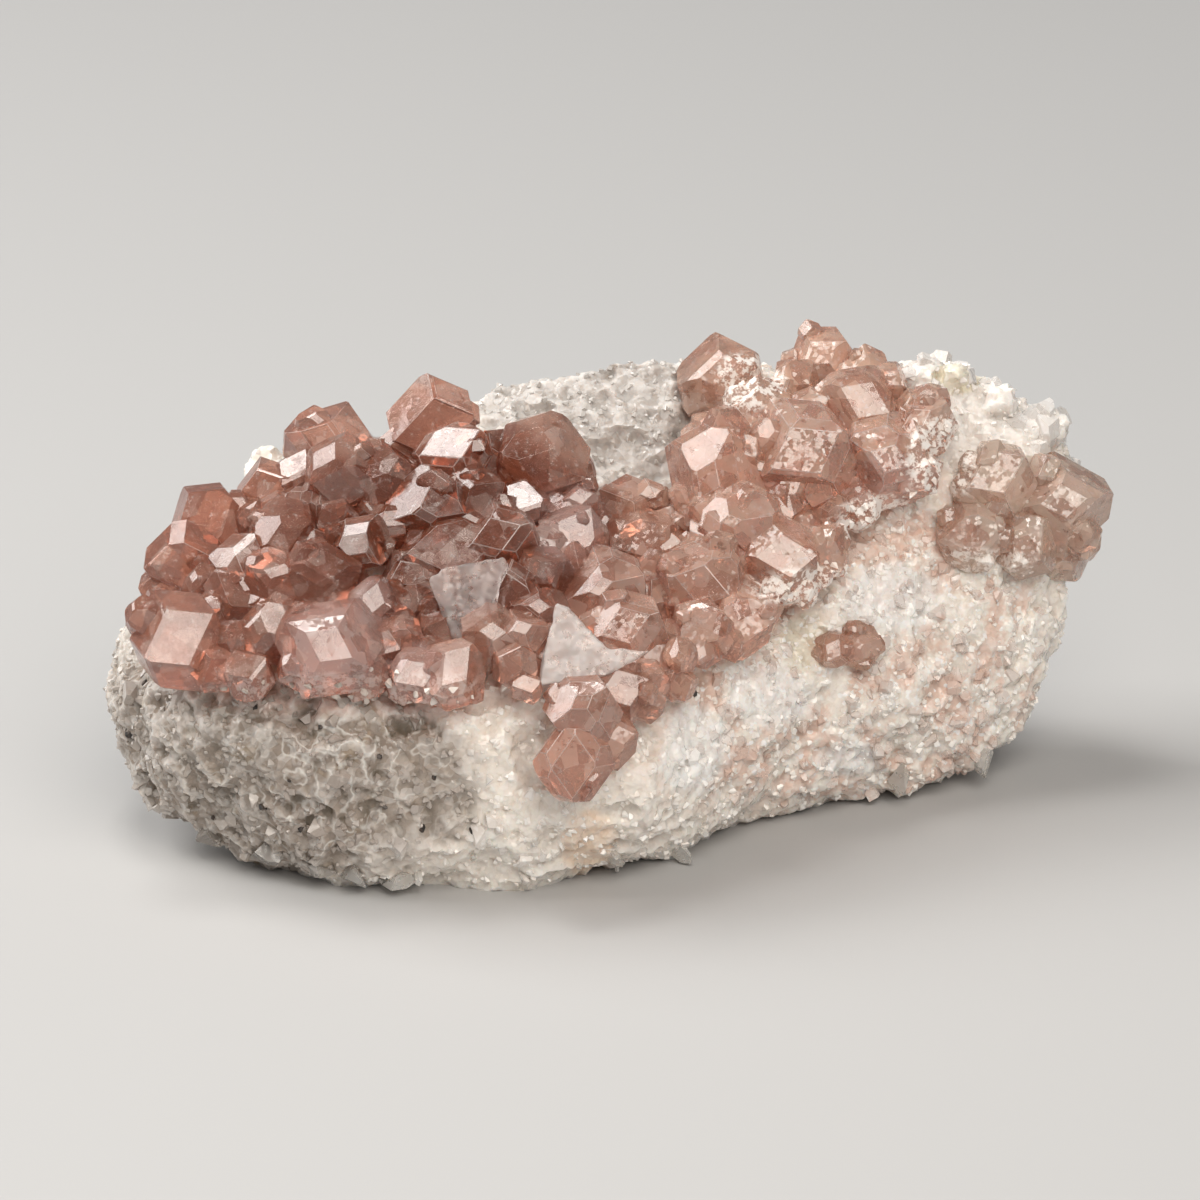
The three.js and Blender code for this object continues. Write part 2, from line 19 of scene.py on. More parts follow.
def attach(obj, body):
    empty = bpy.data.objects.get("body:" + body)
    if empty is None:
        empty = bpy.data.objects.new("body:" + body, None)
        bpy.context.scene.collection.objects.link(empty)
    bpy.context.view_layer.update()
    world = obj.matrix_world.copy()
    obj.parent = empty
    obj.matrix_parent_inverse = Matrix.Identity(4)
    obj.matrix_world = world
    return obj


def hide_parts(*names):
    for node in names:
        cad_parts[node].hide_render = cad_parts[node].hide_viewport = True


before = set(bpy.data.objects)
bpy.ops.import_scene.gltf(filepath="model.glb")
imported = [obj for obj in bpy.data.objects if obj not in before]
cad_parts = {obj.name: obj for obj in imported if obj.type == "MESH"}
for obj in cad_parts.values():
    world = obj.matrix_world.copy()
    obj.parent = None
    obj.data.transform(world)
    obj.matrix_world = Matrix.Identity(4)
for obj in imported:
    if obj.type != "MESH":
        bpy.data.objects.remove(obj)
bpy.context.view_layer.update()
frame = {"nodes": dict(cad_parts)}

LOG = logging.getLogger("garnet_specimen")

MM = 0.001  # the lists below are in millimetres, and Blender's unit is the metre

# The stone's description, in the same figures as the solids
SIGHT_ELEVATION = 20.0  # degrees above the table, of the line of sight
SIGHT_FOOT = 8.0  # how far in front of the described origin the line of sight meets the table
BOX_CENTRE = (0.515, -0.29)  # the middle of the solids, which the frame puts over its origin
SEAM = 0.32  # the gap between the rock and the bed
LAYER = 0.9  # the bed's thickness between its crystals
FACE_SPREAD = 0.34  # how unequal a crystal's broad faces are, as a share of its size
EDGE_NEAREST = 1.03  # the distance of an edge face, as a share of the crystal's size
EDGE_SPREAD = 0.14
EDGE_FROM = 1.6  # the smallest crystal whose edge faces are in the solids
FLASH = (-0.08, 0.56)  # the lean of a face that throws the overhead light forward
FACE_LIFT = 0.1  # how far up the faces of drawn crystals lean on average

SHARP = 1e-7  # metres within which a cut takes a vertex to be on its plane
BISECT_REACH = 0.0001  # the same for the grains, which are cut a metre across


@dataclass(frozen=True)
class Crystal:
    """One garnet of the bed.

    Attributes:
        at: where its middle is seen, across and up along the line of sight.
        size: from its middle to a face.
        lift: how far it stands out of its floor towards the eye.
        face: the lean of its broad face, right and up.
        spin: the angle of that face's long diagonal, in degrees.
        long: how much longer than wide it has grown along that diagonal.
    """

    at: tuple[float, float]
    size: float
    lift: float
    face: tuple[float, float] = (0.1, 0.1)
    spin: float = 0.0
    long: float = 1.0


BED_CRYSTALS = (
    Crystal((-7, 19.1), 1.65, 0.9, (0.05, -0.12), 12, 1.25),
    Crystal((-6.2, 17.8), 1.2, 1.3, FLASH, 32, 1.3),
    Crystal((-11.3, 18.3), 1.6, 0.5, (-0.15, 0.15), -20, 1.1),
    Crystal((-10.6, 16.9), 1.5, 0.9, (0.12, -0.22), -8, 1.2),
    Crystal((-12.7, 17), 0.9, 0.6, FLASH, 70, 1.3),
    Crystal((-13.8, 16.5), 1.1, 0.3, (-0.3, 0.1), 15, 1.1),
    Crystal((-16.2, 15), 1.5, 0.4, (-0.2, 0.25), 40, 1.1),
    Crystal((-17.1, 13.4), 1.35, 0.6, (-0.2, -0.2), 10, 1.2),
    Crystal((-18, 12.3), 1, 0.3, (-0.4, 0.2), 0, 1),
    Crystal((-17.2, 10.2), 1.8, 1.2, (0.1, 0.1), 30, 1),
    Crystal((-14.7, 13.3), 1.2, 0.5, (0.3, 0.2), 75, 1.1),
    Crystal((-15, 11.9), 1, 0.5, (0.3, 0.35), -35, 1.4),
    Crystal((-12.9, 14.6), 1.3, 0.5, (-0.1, 0), 20, 1),
    Crystal((-13.5, 12.6), 1.2, 0.5, (0.2, 0.3), -15, 1.2),
    Crystal((-13.4, 10.5), 1.25, 0.8, (-0.35, 0.1), 80, 1.15),
    Crystal((-10.95, 9.9), 1.75, 1.6, (0, 0.06), -28, 1.15),
    Crystal((-9.3, 11.8), 0.78, 1.7, (0.05, 0.1), 75, 1.3),
    Crystal((-9.9, 14.2), 1.05, 1.1, FLASH, 50, 1.2),
    Crystal((-11.4, 12.8), 1.3, 0.6, (0.1, 0.4), 5, 1.3),
    Crystal((-7.4, 8.8), 0.95, 1.1, (0, 0.15), 25, 1.25),
    Crystal((-8.8, 16.7), 1.4, 0.6, (-0.1, -0.1), 55, 1),
    Crystal((-7.2, 15.7), 1.4, 0.8, (0.05, -0.25), 5, 1.2),
    Crystal((-5, 16), 1.2, 0.7, (0.2, -0.05), 40, 1),
    Crystal((-6.3, 13.6), 1.4, 0.6, (0, 0.35), 10, 1.4),
    Crystal((-4.2, 14.2), 1.3, 0.7, (-0.1, 0.3), 20, 1.2),
    Crystal((-2.5, 17.6), 1.65, 0.8, (0.1, -0.05), -18, 1.2),
    Crystal((-3.2, 15.8), 0.95, 1.1, FLASH, -20, 1.2),
    Crystal((-0.8, 15.9), 0.85, 1.4, (0, 0.3), 10, 1),
    Crystal((1.2, 15.7), 1.3, 0.8, (0, 0.72), 8, 1.25),
    Crystal((-1.1, 14.4), 1.2, 1.1, (0.12, 0.28), 60, 1.15),
    Crystal((1.8, 14.2), 1.3, 0.8, (-0.1, 0.15), 20, 1.1),
    Crystal((-2.4, 12.9), 1.15, 0.6, (0.1, 0), 35, 1),
    Crystal((-3.8, 12), 1.25, 0.7, (-0.2, 0.15), 0, 1),
    Crystal((0, 12.2), 1.5, 0.8, (0.05, 0.1), 14, 1.2),
    Crystal((1.2, 10.6), 1.45, 0.9, (-0.05, 0.12), 20, 1.1),
    Crystal((3.3, 9.6), 0.55, 1.9, (-0.1, 0.1), 100, 1.5),
    Crystal((4.2, 12.7), 1.5, 0.7, (0, -0.05), -15, 1.1),
    Crystal((4.2, 10.6), 1.2, 0.6, (-0.1, 0.1), 45, 1),
    Crystal((5.8, 11), 1.25, 0.6, (0.2, 0.05), 0, 1),
    Crystal((5.8, 15), 1.5, 0.7, (-0.1, 0.1), 10, 1.1),
    Crystal((4.9, 17.2), 1.9, 0.8, (-0.15, 0), 65, 1),
    Crystal((8.4, 17.9), 2.05, 0.9, (0.02, 0.02), 30, 1),
    Crystal((6.8, 19.7), 1.25, 0.6, (-0.05, -0.05), 0, 1.1),
    Crystal((9.4, 22), 1.3, 0.2, (-0.1, 0.1), 35, 1.15),
    Crystal((11.3, 21.6), 0.85, 0.3, (0.1, -0.1), 10, 1),
    Crystal((10.7, 20), 1.5, 0.5, (0.15, 0.15), -25, 1),
    Crystal((7.5, 13.6), 1.6, 0.6, (0.05, 0.12), 5, 1.05),
    Crystal((9.5, 14.2), 0.75, 0.7, FLASH, 40, 1.2),
    Crystal((11.9, 17.6), 1.8, 0.4, (0.15, 0.05), -20, 1.1),
    Crystal((13.6, 19.2), 1.1, 0.5, (-0.15, 0.3), 30, 1.3),
    Crystal((-5.9, 8.9), 1.2, 0.5, (0, 0.2), 50, 1.2),
    Crystal((-4.6, 10.4), 1.2, 0.5, (0.1, 0.1), 0, 1),
    Crystal((0.9, 8.2), 1.15, 0.5, (0.2, 0.1), 20, 1),
    Crystal((-0.7, 7.4), 1.4, 0.6, (-0.1, 0.2), 35, 1.1),
    Crystal((-1, 5.3), 1.3, 0.6, (0, -0.1), 90, 1.2),
    Crystal((0.5, 6.2), 1, 0.4, (0.25, 0.1), 10, 1),
)
BACK_CRYSTALS = (
    Crystal((5.1, 21.3), 1.5, 0.4, (-0.1, 0.1), 8, 1.1),
    Crystal((4.2, 20.3), 0.7, 0.4, (-0.3, 0), 60, 1),
)
EAST_CRYSTALS = (
    Crystal((19.3, 15.9), 1.75, 0.5, (0.2, 0.1), 8, 1.25),
    Crystal((16.7, 16.9), 1.4, 0.5, (-0.1, 0.2), 25, 1.1),
    Crystal((15.6, 14.6), 1.3, 0.4, (-0.1, 0), 10, 1.1),
    Crystal((17.8, 14.2), 1.3, 0.5, (0.1, 0), 50, 1.1),
    Crystal((19.6, 14), 1.15, 0.3, (0.2, -0.1), 30, 1.1),
)
FACE_CRYSTALS = (
    Crystal((10.7, 10), 0.85, 0.2, (0.1, 0), 20, 1.2),
    Crystal((9.7, 9.8), 0.65, 0.2, (0, 0.1), 60, 1.1),
)
BED_OUTLINE = (
    (-18.8, 10.6), (-18, 14), (-16, 15.6), (-12, 18), (-5, 19.2), (-4, 18.4), (-0.4, 17), (3, 16.4),
    (3.8, 18.2), (7, 20.6), (8.5, 22.4), (11, 22), (15, 19.6), (13.8, 17.2), (10.4, 15.4), (9.6, 13.4),
    (6.8, 11.2), (4.6, 9.2), (1.6, 7.4), (-1, 9.4), (-4, 8.8), (-7, 8), (-12, 8.6), (-18, 8.8),
)
BED_ACROSS = (-20, 16)
BED_UP = (6, 23)

SIGNS = (-1, 1)
RHOMBS = [face for a in SIGNS for b in SIGNS for face in ((a, b, 0), (a, 0, b), (0, a, b))]
CORNERS = [(a, b, c) for a in SIGNS for b in SIGNS for c in SIGNS]
EDGES = [face for a, b, c in CORNERS for face in ((2 * a, b, c), (a, 2 * b, c), (a, b, 2 * c))]

Faces = list[tuple[Vector, float]]  # each face's outward direction, and its distance in millimetres
Oval = tuple[float, float, float, float]  # as it is seen: across, up, half the width and half the height
Colour = tuple[float, float, float]


class Dice:
    """A repeatable stream of numbers from 0 to 1, the same as the solids use."""

    def __init__(self, seed: int) -> None:
        """Starts the stream.

        Args:
            seed: the number that names it.
        """
        self.state = seed

    def roll(self) -> float:
        """Returns the next number."""
        self.state = (self.state * 1664525 + 1013904223) % 2**32
        return self.state / 2**32

    def between(self, low: float, high: float) -> float:
        """Returns the next number, stretched to lie from low to high."""
        return low + (high - low) * self.roll()


@dataclass(frozen=True)
class Sight:
    """The line of sight along which the stone is described, and the axes of what it sees."""

    elevation: float = math.radians(SIGHT_ELEVATION)

    @property
    def right(self) -> Vector:
        """Returns the direction to the right."""
        return Vector((1, 0, 0))

    @property
    def up(self) -> Vector:
        """Returns the upward direction of what is seen."""
        return Vector((0, math.sin(self.elevation), math.cos(self.elevation)))

    @property
    def away(self) -> Vector:
        """Returns the direction away from the eye."""
        return Vector((0, math.cos(self.elevation), -math.sin(self.elevation)))

    def place(self, across: float, up: float, depth: float) -> Vector:
        """Turns a place as it is seen into one in the frame.

        Args:
            across: millimetres to the right.
            up: millimetres up.
            depth: millimetres away from the eye.

        Returns:
            The place, in metres.
        """
        height = up - SIGHT_FOOT * math.sin(self.elevation)
        spot = self.right * across + self.up * height + self.away * depth
        return (spot - Vector((*BOX_CENTRE, 0))) * MM

    def seen(self, places: np.ndarray) -> tuple[np.ndarray, np.ndarray]:
        """Gives where places of the frame are seen.

        Args:
            places: rows of x, y and z in metres.

        Returns:
            Millimetres across, and millimetres up.
        """
        spots = places / MM + np.array((*BOX_CENTRE, 0.0))
        up = (spots[:, 1] + SIGHT_FOOT) * math.sin(self.elevation) + spots[:, 2] * math.cos(self.elevation)
        return spots[:, 0], up


SIGHT = Sight()


def inside(across: float, up: float, outline: Sequence[tuple[float, float]]) -> bool:
    """Tells whether a place lies inside an outline.

    Args:
        across: the place's first figure.
        up: its second.
        outline: the corners in order.

    Returns:
        True inside.
    """
    odd = False
    for (ax, ay), (bx, by) in zip(outline, [*outline[1:], outline[0]]):
        if (ay > up) != (by > up) and across < ax + (bx - ax) * (up - ay) / (by - ay):
            odd = not odd
    return odd


class Floor:
    """The rock's surface, grown by a distance, that lines of sight meet."""

    START = -100.0  # millimetres, from where the stone is seen
    STEP = 0.25  # millimetres from one line of sight to the next
    LINES = 25  # how many of them are tried

    def __init__(self, rock: bpy.types.Object, growth: float = 0.0) -> None:
        """Measures a rock.

        Args:
            rock: the rock, its doubles merged.
            growth: millimetres added all round.
        """
        mesh = rock.data
        places = [vertex.co + vertex.normal * growth * MM for vertex in mesh.vertices]
        self.tree = BVHTree.FromPolygons(places, [tuple(face.vertices) for face in mesh.polygons])

    def cast(self, across: float, up: float) -> Vector | None:
        """Finds where a line of sight meets the rock.

        Args:
            across: millimetres to the right.
            up: millimetres up.

        Returns:
            The place in the frame, in metres, or None beside the rock.
        """
        return self.tree.ray_cast(SIGHT.place(across, up, self.START), SIGHT.away)[0]

    def meet(self, at: tuple[float, float], step: float = -STEP) -> tuple[Vector, float]:
        """Finds the rock on the line of sight through a place, or on the next one that meets it.

        Args:
            at: millimetres across and up.
            step: how far up the next line of sight is, in millimetres.

        Returns:
            The place on the rock in metres, and how far up the line had to move, in millimetres.
        """
        for number in range(self.LINES):
            spot = self.cast(at[0], at[1] + number * step)
            if spot is not None:
                return spot, number * step
        raise ValueError(f"no rock near {at}")

    def stand(self, crystal: Crystal) -> Vector:
        """Finds a crystal's middle. One on the skyline is as far off as the rock below it.

        Args:
            crystal: the crystal.

        Returns:
            The place in the frame, in metres.
        """
        spot, moved = self.meet(crystal.at)
        return spot - (SIGHT.up * moved + SIGHT.away * crystal.lift) * MM


class Shield:
    """The calcite plates, in front of which no crystal grows."""

    RIM = 8  # how many lines of sight touch a crystal's outline
    REACH = 0.1  # metres, over which a line of sight is followed

    def __init__(self, plates: Sequence[bpy.types.Object]) -> None:
        """Measures the plates.

        Args:
            plates: the solids.
        """
        self.trees = [Floor(plate).tree for plate in plates]

    def pierced(self, middle: Vector, size: float) -> bool:
        """Tells whether a crystal would come through a plate.

        Args:
            middle: the crystal's middle.
            size: from its middle to a face, in millimetres.

        Returns:
            True where it would.
        """
        reach = size * MM
        turns = [math.radians(360 / self.RIM * number) for number in range(self.RIM)]
        rim = [(SIGHT.right * math.cos(turn) + SIGHT.up * math.sin(turn)) * reach for turn in turns]
        for offset in (Vector(), *rim):
            start = middle + offset - SIGHT.away * reach
            if any(tree.ray_cast(start, SIGHT.away, self.REACH)[0] is not None for tree in self.trees):
                return True
        return False


def deselect() -> None:
    """Leaves object mode with nothing selected."""
    if bpy.context.object and bpy.context.object.mode != "OBJECT":
        bpy.ops.object.mode_set(mode="OBJECT")
    bpy.ops.object.select_all(action="DESELECT")


def choose(*pieces: bpy.types.Object) -> None:
    """Selects pieces and makes the first one active.

    Args:
        pieces: the objects.
    """
    deselect()
    for piece in pieces:
        piece.select_set(True)
    bpy.context.view_layer.objects.active = pieces[0]


def copy_of(source: bpy.types.Object, name: str) -> bpy.types.Object:
    """Copies an object with a mesh of its own.

    Args:
        source: the object to copy.
        name: the copy's name.

    Returns:
        The copy, at the origin.
    """
    copy = bpy.data.objects.new(name, source.data.copy())
    copy.data.name = name
    bpy.context.scene.collection.objects.link(copy)
    return copy


def finish_with(piece: bpy.types.Object, kind: str, **settings: Any) -> None:
    """Adds a modifier and applies it.

    Args:
        piece: the object.
        kind: the modifier's type.
        settings: its properties.
    """
    choose(piece)
    modifier = piece.modifiers.new(kind, kind)
    for key, value in settings.items():
        setattr(modifier, key, value)
    bpy.ops.object.modifier_apply(modifier=modifier.name)


@contextmanager
def editing(piece: bpy.types.Object) -> Iterator[None]:
    """Opens a piece in edit mode, all of it selected, and leaves that mode afterwards."""
    choose(piece)
    bpy.ops.object.mode_set(mode="EDIT")
    bpy.ops.mesh.select_all(action="SELECT")
    yield
    bpy.ops.object.mode_set(mode="OBJECT")


def slice_off(place: Sequence[float], way: Sequence[float], reach: float = SHARP) -> None:
    """Cuts the mesh that is being edited along a plane, drops what lies beyond it and closes the cut.

    Args:
        place: a place on the plane.
        way: the outward direction.
        reach: how near a vertex counts as on the plane.
    """
    bpy.ops.mesh.select_all(action="SELECT")
    bpy.ops.mesh.bisect(plane_co=place, plane_no=way, use_fill=True, clear_outer=True, threshold=reach)
    bpy.ops.mesh.select_all(action="SELECT")


def merge_doubles(piece: bpy.types.Object, distance: float = 1e-6) -> None:
    """Merges vertices that lie within a distance in metres."""
    with editing(piece):
        bpy.ops.mesh.remove_doubles(threshold=distance)


def settle(piece: bpy.types.Object) -> None:
    """Puts a piece's place into its mesh, so that its object sits at the origin."""
    choose(piece)
    bpy.ops.object.transform_apply(location=True, rotation=True, scale=True)


def read(parts: Any, name: str, width: int = 1, kind: type = float) -> np.ndarray:
    """Reads a property of all the vertices, edges or faces of a mesh.

    Args:
        parts: the vertices, edges or faces.
        name: the property.
        width: how many numbers one value has.
        kind: the type of those numbers.

    Returns:
        One row for each part, or one number where the width is 1.
    """
    values = np.empty(len(parts) * width, dtype=kind)
    parts.foreach_get(name, values)
    return values.reshape(-1, width) if width > 1 else values


def store(mesh: bpy.types.Mesh, name: str, values: np.ndarray, domain: str) -> None:
    """Stores a number for every part of a mesh.

    Args:
        mesh: the mesh.
        name: the attribute's name.
        values: the numbers.
        domain: POINT or FACE.
    """
    layer = mesh.attributes.new(name, "FLOAT", domain)
    layer.data.foreach_set("value", np.asarray(values, dtype=np.float32))


def beyond(spots: np.ndarray, middle: Vector, faces: Faces) -> np.ndarray:
    """Measures how far places lie outside the faces of a crystal.

    Args:
        spots: rows of places.
        middle: the crystal's middle.
        faces: its faces.

    Returns:
        Metres, a row for each place and a column for each face.
    """
    ways = np.array([way for way, _ in faces])
    ends = np.array([distance * MM for _, distance in faces])
    return (spots - np.array(middle)) @ ways.T - ends


class Link:
    """An output of a shader node. An expression on links adds Math nodes."""

    def __init__(self, graph: "Graph", socket: bpy.types.NodeSocket) -> None:
        """Wraps an output.

        Args:
            graph: the graph that it belongs to.
            socket: the output.
        """
        self.graph = graph
        self.socket = socket

    def math(self, operation: str, first: Any, second: Any = 0.0) -> "Link":
        """Adds one Math node.

        Args:
            operation: the node's operation.
            first: a link or number.
            second: a link or number.

        Returns:
            The result.
        """
        return self.graph.node("Math", {"operation": operation}, {0: first, 1: second})

    def __add__(self, other: Any) -> "Link":
        """Returns the sum."""
        return self.math("ADD", self, other)

    def __radd__(self, other: Any) -> "Link":
        """Returns the sum."""
        return self.math("ADD", other, self)

    def __sub__(self, other: Any) -> "Link":
        """Returns the difference."""
        return self.math("SUBTRACT", self, other)

    def __rsub__(self, other: Any) -> "Link":
        """Returns the difference the other way."""
        return self.math("SUBTRACT", other, self)

    def __mul__(self, other: Any) -> "Link":
        """Returns the product."""
        return self.math("MULTIPLY", self, other)

    def plus_times(self, factor: Any, addend: Any) -> "Link":
        """Returns this value times a factor, plus an addend, in one node."""
        return self.graph.node("Math", {"operation": "MULTIPLY_ADD"}, {0: self, 1: factor, 2: addend})

    def ramp(self, low: float, high: float, start: float = 0.0, end: float = 1.0) -> "Link":
        """Rises smoothly from start to end.

        Args:
            low: the value where it starts.
            high: the value where it ends.
            start: the result at low.
            end: the result at high.

        Returns:
            The result.
        """
        settings = {"interpolation_type": "SMOOTHSTEP"}
        return self.graph.node("MapRange", settings, {0: self, 1: low, 2: high, 3: start, 4: end})


Patch = tuple[Oval, float, Colour]  # an oval, how much of its colour is mixed in, and that colour


class Graph:
    """One material's nodes."""

    def __init__(self, name: str) -> None:
        """Starts an empty material.

        Args:
            name: the material's name.
        """
        self.material = bpy.data.materials.new(name)
        self.material.use_nodes = True
        self.material.node_tree.nodes.clear()
        self.spot = self.node("TexCoord", output="Object")
        self.rag = self.noise(2.2, 3.0, 0.6)
        self.across = self.along(SIGHT.right)
        self.up = self.along(SIGHT.up)

    def node(
        self,
        kind: str,
        settings: dict[str, Any] | None = None,
        inputs: dict[Any, Any] | None = None,
        output: Any = 0,
    ) -> Link:
        """Adds any node.

        Args:
            kind: the type, without ShaderNode in front.
            settings: its properties.
            inputs: numbers, colours or links by the input's name or number.
            output: the name or number of the output wanted.

        Returns:
            That output.
        """
        made = self.material.node_tree.nodes.new("ShaderNode" + kind)
        for key, value in (settings or {}).items():
            setattr(made, key, value)
        for key, value in (inputs or {}).items():
            if isinstance(value, Link):
                self.material.node_tree.links.new(value.socket, made.inputs[key])
            elif isinstance(value, tuple) and len(value) == 3 and made.inputs[key].type == "RGBA":
                made.inputs[key].default_value = (*value, 1.0)
            else:
                made.inputs[key].default_value = value
        return Link(self, made.outputs[output] if made.outputs else None)

    def mix(self, factor: Any, first: Any, second: Any) -> Link:
        """Mixes two colours.

        Args:
            factor: how much of the second.
            first: a colour or link.
            second: a colour or link.

        Returns:
            The colour.
        """
        settings = {"data_type": "RGBA", "clamp_factor": True}
        return self.node("Mix", settings, {0: factor, 6: first, 7: second}, 2)

    def along(self, way: Vector) -> Link:
        """Measures how far each place lies along a direction, in millimetres.

        Args:
            way: the direction, of length 1.

        Returns:
            The distance from the frame's origin.
        """
        inputs = {0: self.spot, 1: tuple(way / MM)}
        return self.node("VectorMath", {"operation": "DOT_PRODUCT"}, inputs, "Value")

    def noise(self, size: float, detail: float = 3.0, rough: float = 0.5, shift: float = 0.0) -> Link:
        """Adds a noise pattern.

        Args:
            size: millimetres across one lump.
            detail: octaves.
            rough: how strong the small ones are.
            shift: moves the pattern, in millimetres.

        Returns:
            Its value, about 0.5 on average.
        """
        moved = self.node("VectorMath", {"operation": "ADD"}, {0: self.spot, 1: (shift * MM,) * 3})
        inputs = {"Vector": moved, "Scale": 1.0 / (size * MM), "Detail": detail, "Roughness": rough}
        return self.node("TexNoise", None, inputs, "Fac")

    def facets(self, size: float) -> tuple[Link, Link]:
        """Adds a pattern of small flat planes, each tilted its own way.

        Args:
            size: millimetres across one plane.

        Returns:
            Its height from about -0.4 to 0.4, and a random number for each plane.
        """
        scale = {"operation": "SCALE"}
        minus = {"operation": "SUBTRACT"}
        scaled = self.node("VectorMath", scale, {0: self.spot, "Scale": 1.0 / (size * MM)})
        colour = self.node("TexVoronoi", None, {"Vector": scaled, "Scale": 1.0}, "Color")
        middle = Link(self, colour.socket.node.outputs["Position"])
        apart = self.node("VectorMath", minus, {0: scaled, 1: middle})
        way = self.node("VectorMath", minus, {0: colour, 1: (0.5, 0.5, 0.5)})
        height = self.node("VectorMath", {"operation": "DOT_PRODUCT"}, {0: apart, 1: way}, "Value")
        return height, self.node("SeparateXYZ", None, {0: colour}, "X")

    def attribute(self, name: str) -> Link:
        """Returns a number that is stored on the mesh under this name."""
        return self.node("Attribute", {"attribute_name": name}, output="Fac")

    def bump(self, height: Link, depth: float, strength: float = 1.0, under: Link | None = None) -> Link:
        """Adds a bump.

        Args:
            height: the pattern, from 0 to 1.
            depth: its depth in millimetres.
            strength: how far it tilts the surface.
            under: a bump that this one lies on.

        Returns:
            The normal.
        """
        inputs = {"Strength": strength, "Distance": depth * MM, "Height": height}
        if under:
            inputs["Normal"] = under
        return self.node("Bump", None, inputs)

    def zone(self, across: float, up: float, wide: float, high: float, edge: float = 0.35) -> Link:
        """Marks an oval patch as it is seen along the line of sight, with a ragged edge.

        Args:
            across: its middle, in millimetres to the right.
            up: its middle, in millimetres up.
            wide: half its width.
            high: half its height.
            edge: how ragged the edge is.

        Returns:
            1 inside and 0 outside.
        """
        foot = SIGHT.place(across, up, 0.0)
        x = self.across.plus_times(1 / wide, -foot.dot(SIGHT.right) / (wide * MM))
        y = self.up.plus_times(1 / high, -foot.dot(SIGHT.up) / (high * MM))
        reach = self.node("Math", {"operation": "SQRT"}, {0: x.plus_times(x, y * y)})
        return self.rag.plus_times(2.0 * edge, reach).ramp(1.15 + edge, 0.75 + edge)

    def patched(self, body: Any, patches: Sequence[Patch], edge: float = 0.35) -> Any:
        """Mixes ovals of other colours into a colour, one after the other.

        Args:
            body: the colour.
            patches: the ovals.
            edge: how ragged their edges are.

        Returns:
            The colour.
        """
        for oval, share, colour in patches:
            body = self.mix(self.zone(*oval, edge) * share, body, colour)
        return body

    def shader(self, constants: dict[str, Any], **inputs: Any) -> Link:
        """Adds one surface shader.

        Args:
            constants: values on the shader's own sockets.
            inputs: links by the socket's name, with _ for a blank.

        Returns:
            The shader.
        """
        sockets = {key.replace("_", " "): value for key, value in inputs.items()}
        return self.node("BsdfPrincipled", None, {**constants, **sockets})

    def surface(self, shader: Link, cover: Link | None = None, share: Any = 0.0) -> None:
        """Adds the output.

        Args:
            shader: the surface's shader.
            cover: the shader of what lies on it.
            share: how much of the surface is covered.
        """
        if cover:
            shader = self.node("MixShader", None, {0: share, 1: shader, 2: cover})
        self.node("OutputMaterial", None, {"Surface": shader})

    def creases(self, size: float, shift: float = 0.0, width: float = 0.05) -> Link:
        """Adds thin, winding ridges.

        Args:
            size: millimetres from ridge to ridge, about.
            shift: moves the pattern, in millimetres.
            width: how broad the ridges are.

        Returns:
            1 on a ridge and 0 between.
        """
        wave = self.noise(size, 2.0, 0.5, shift)
        return wave.math("ABSOLUTE", wave - 0.5).ramp(width, 0.0)

    def absorb(self, colour: Colour, density: float) -> None:
        """Fills the inside with a colour that deepens with the way through it.

        Args:
            colour: what passes.
            density: how fast, per metre.
        """
        volume = self.node("VolumeAbsorption", None, {"Color": colour, "Density": density})
        tree = self.material.node_tree
        out = next(made for made in tree.nodes if made.type == "OUTPUT_MATERIAL")
        tree.links.new(volume.socket, out.inputs["Volume"])


# Parts of the rock that have a colour of their own; the hump's dark grey is painted shade
LEFT_END = (-15.0, 6.0, 8.0, 6.5)
GREY_PATCH = (-9.5, 4.2, 4.6, 3.4)
# The hump's rock and grains are painted dark grey, as shade against the strong light on its top
HUMP = (0.0, 19.5, 6.0, 4.0)  # behind the bed
RIDGE = (15.0, 20.5, 6.0, 3.0)  # at the top right
RIGHT_FACE = (10.0, 10.0, 9.0, 8.0)
WHITE_SPOTS = ((7.0, 7.9, 2.0, 1.4), (12.3, 12.0, 2.2, 1.5), (3.8, 5.8, 1.5, 1.8), (10.5, 5.2, 1.4, 0.8))
WHITE = (0.97, 0.945, 0.92)
GLINT = (1.0, 0.98, 0.96)
DARK_LEFT = (0.26, 0.21, 0.17)

# Garnets of the bed that are deeper in colour than the rest, then the palest ones
DEEP_PATCHES = (
    ((-14.0, 12.5, 8.0, 7.0), 0.7, (0.46, 0.21, 0.145)),
    ((-6.0, 15.0, 7.0, 4.0), 0.95, (0.29, 0.095, 0.05)),
    ((10.4, 9.9, 1.8, 1.4), 0.5, (0.72, 0.40, 0.29)),
)
PALEST = (0.97, 0.76, 0.71)
PALE_PATCHES = (
    ((-10.9, 9.9, 2.2, 2.0), 0.6, PALEST),
    ((-9.3, 11.8, 0.9, 1.0), 0.6, PALEST),
    ((-7.4, 8.8, 1.5, 1.3), 0.6, PALEST),
    ((-1.3, 15.2, 1.7, 1.7), 0.5, PALEST),
    ((12.0, 16.8, 1.6, 1.3), 0.5, PALEST),
)
# Where white sugar covers the garnets, and how much of it
FROSTED_SPOTS = (
    ((6.2, 21.0, 1.5, 1.4), 0.9),
    ((8.8, 12.4, 2.8, 0.9), 0.8),
    ((11.8, 15.2, 2.2, 1.1), 0.9),
    ((14.3, 17.8, 1.8, 1.9), 0.8),
    ((-9.5, 8.2, 7.0, 0.8), 0.3),
    ((16.0, 13.4, 2.5, 0.7), 0.6),
)


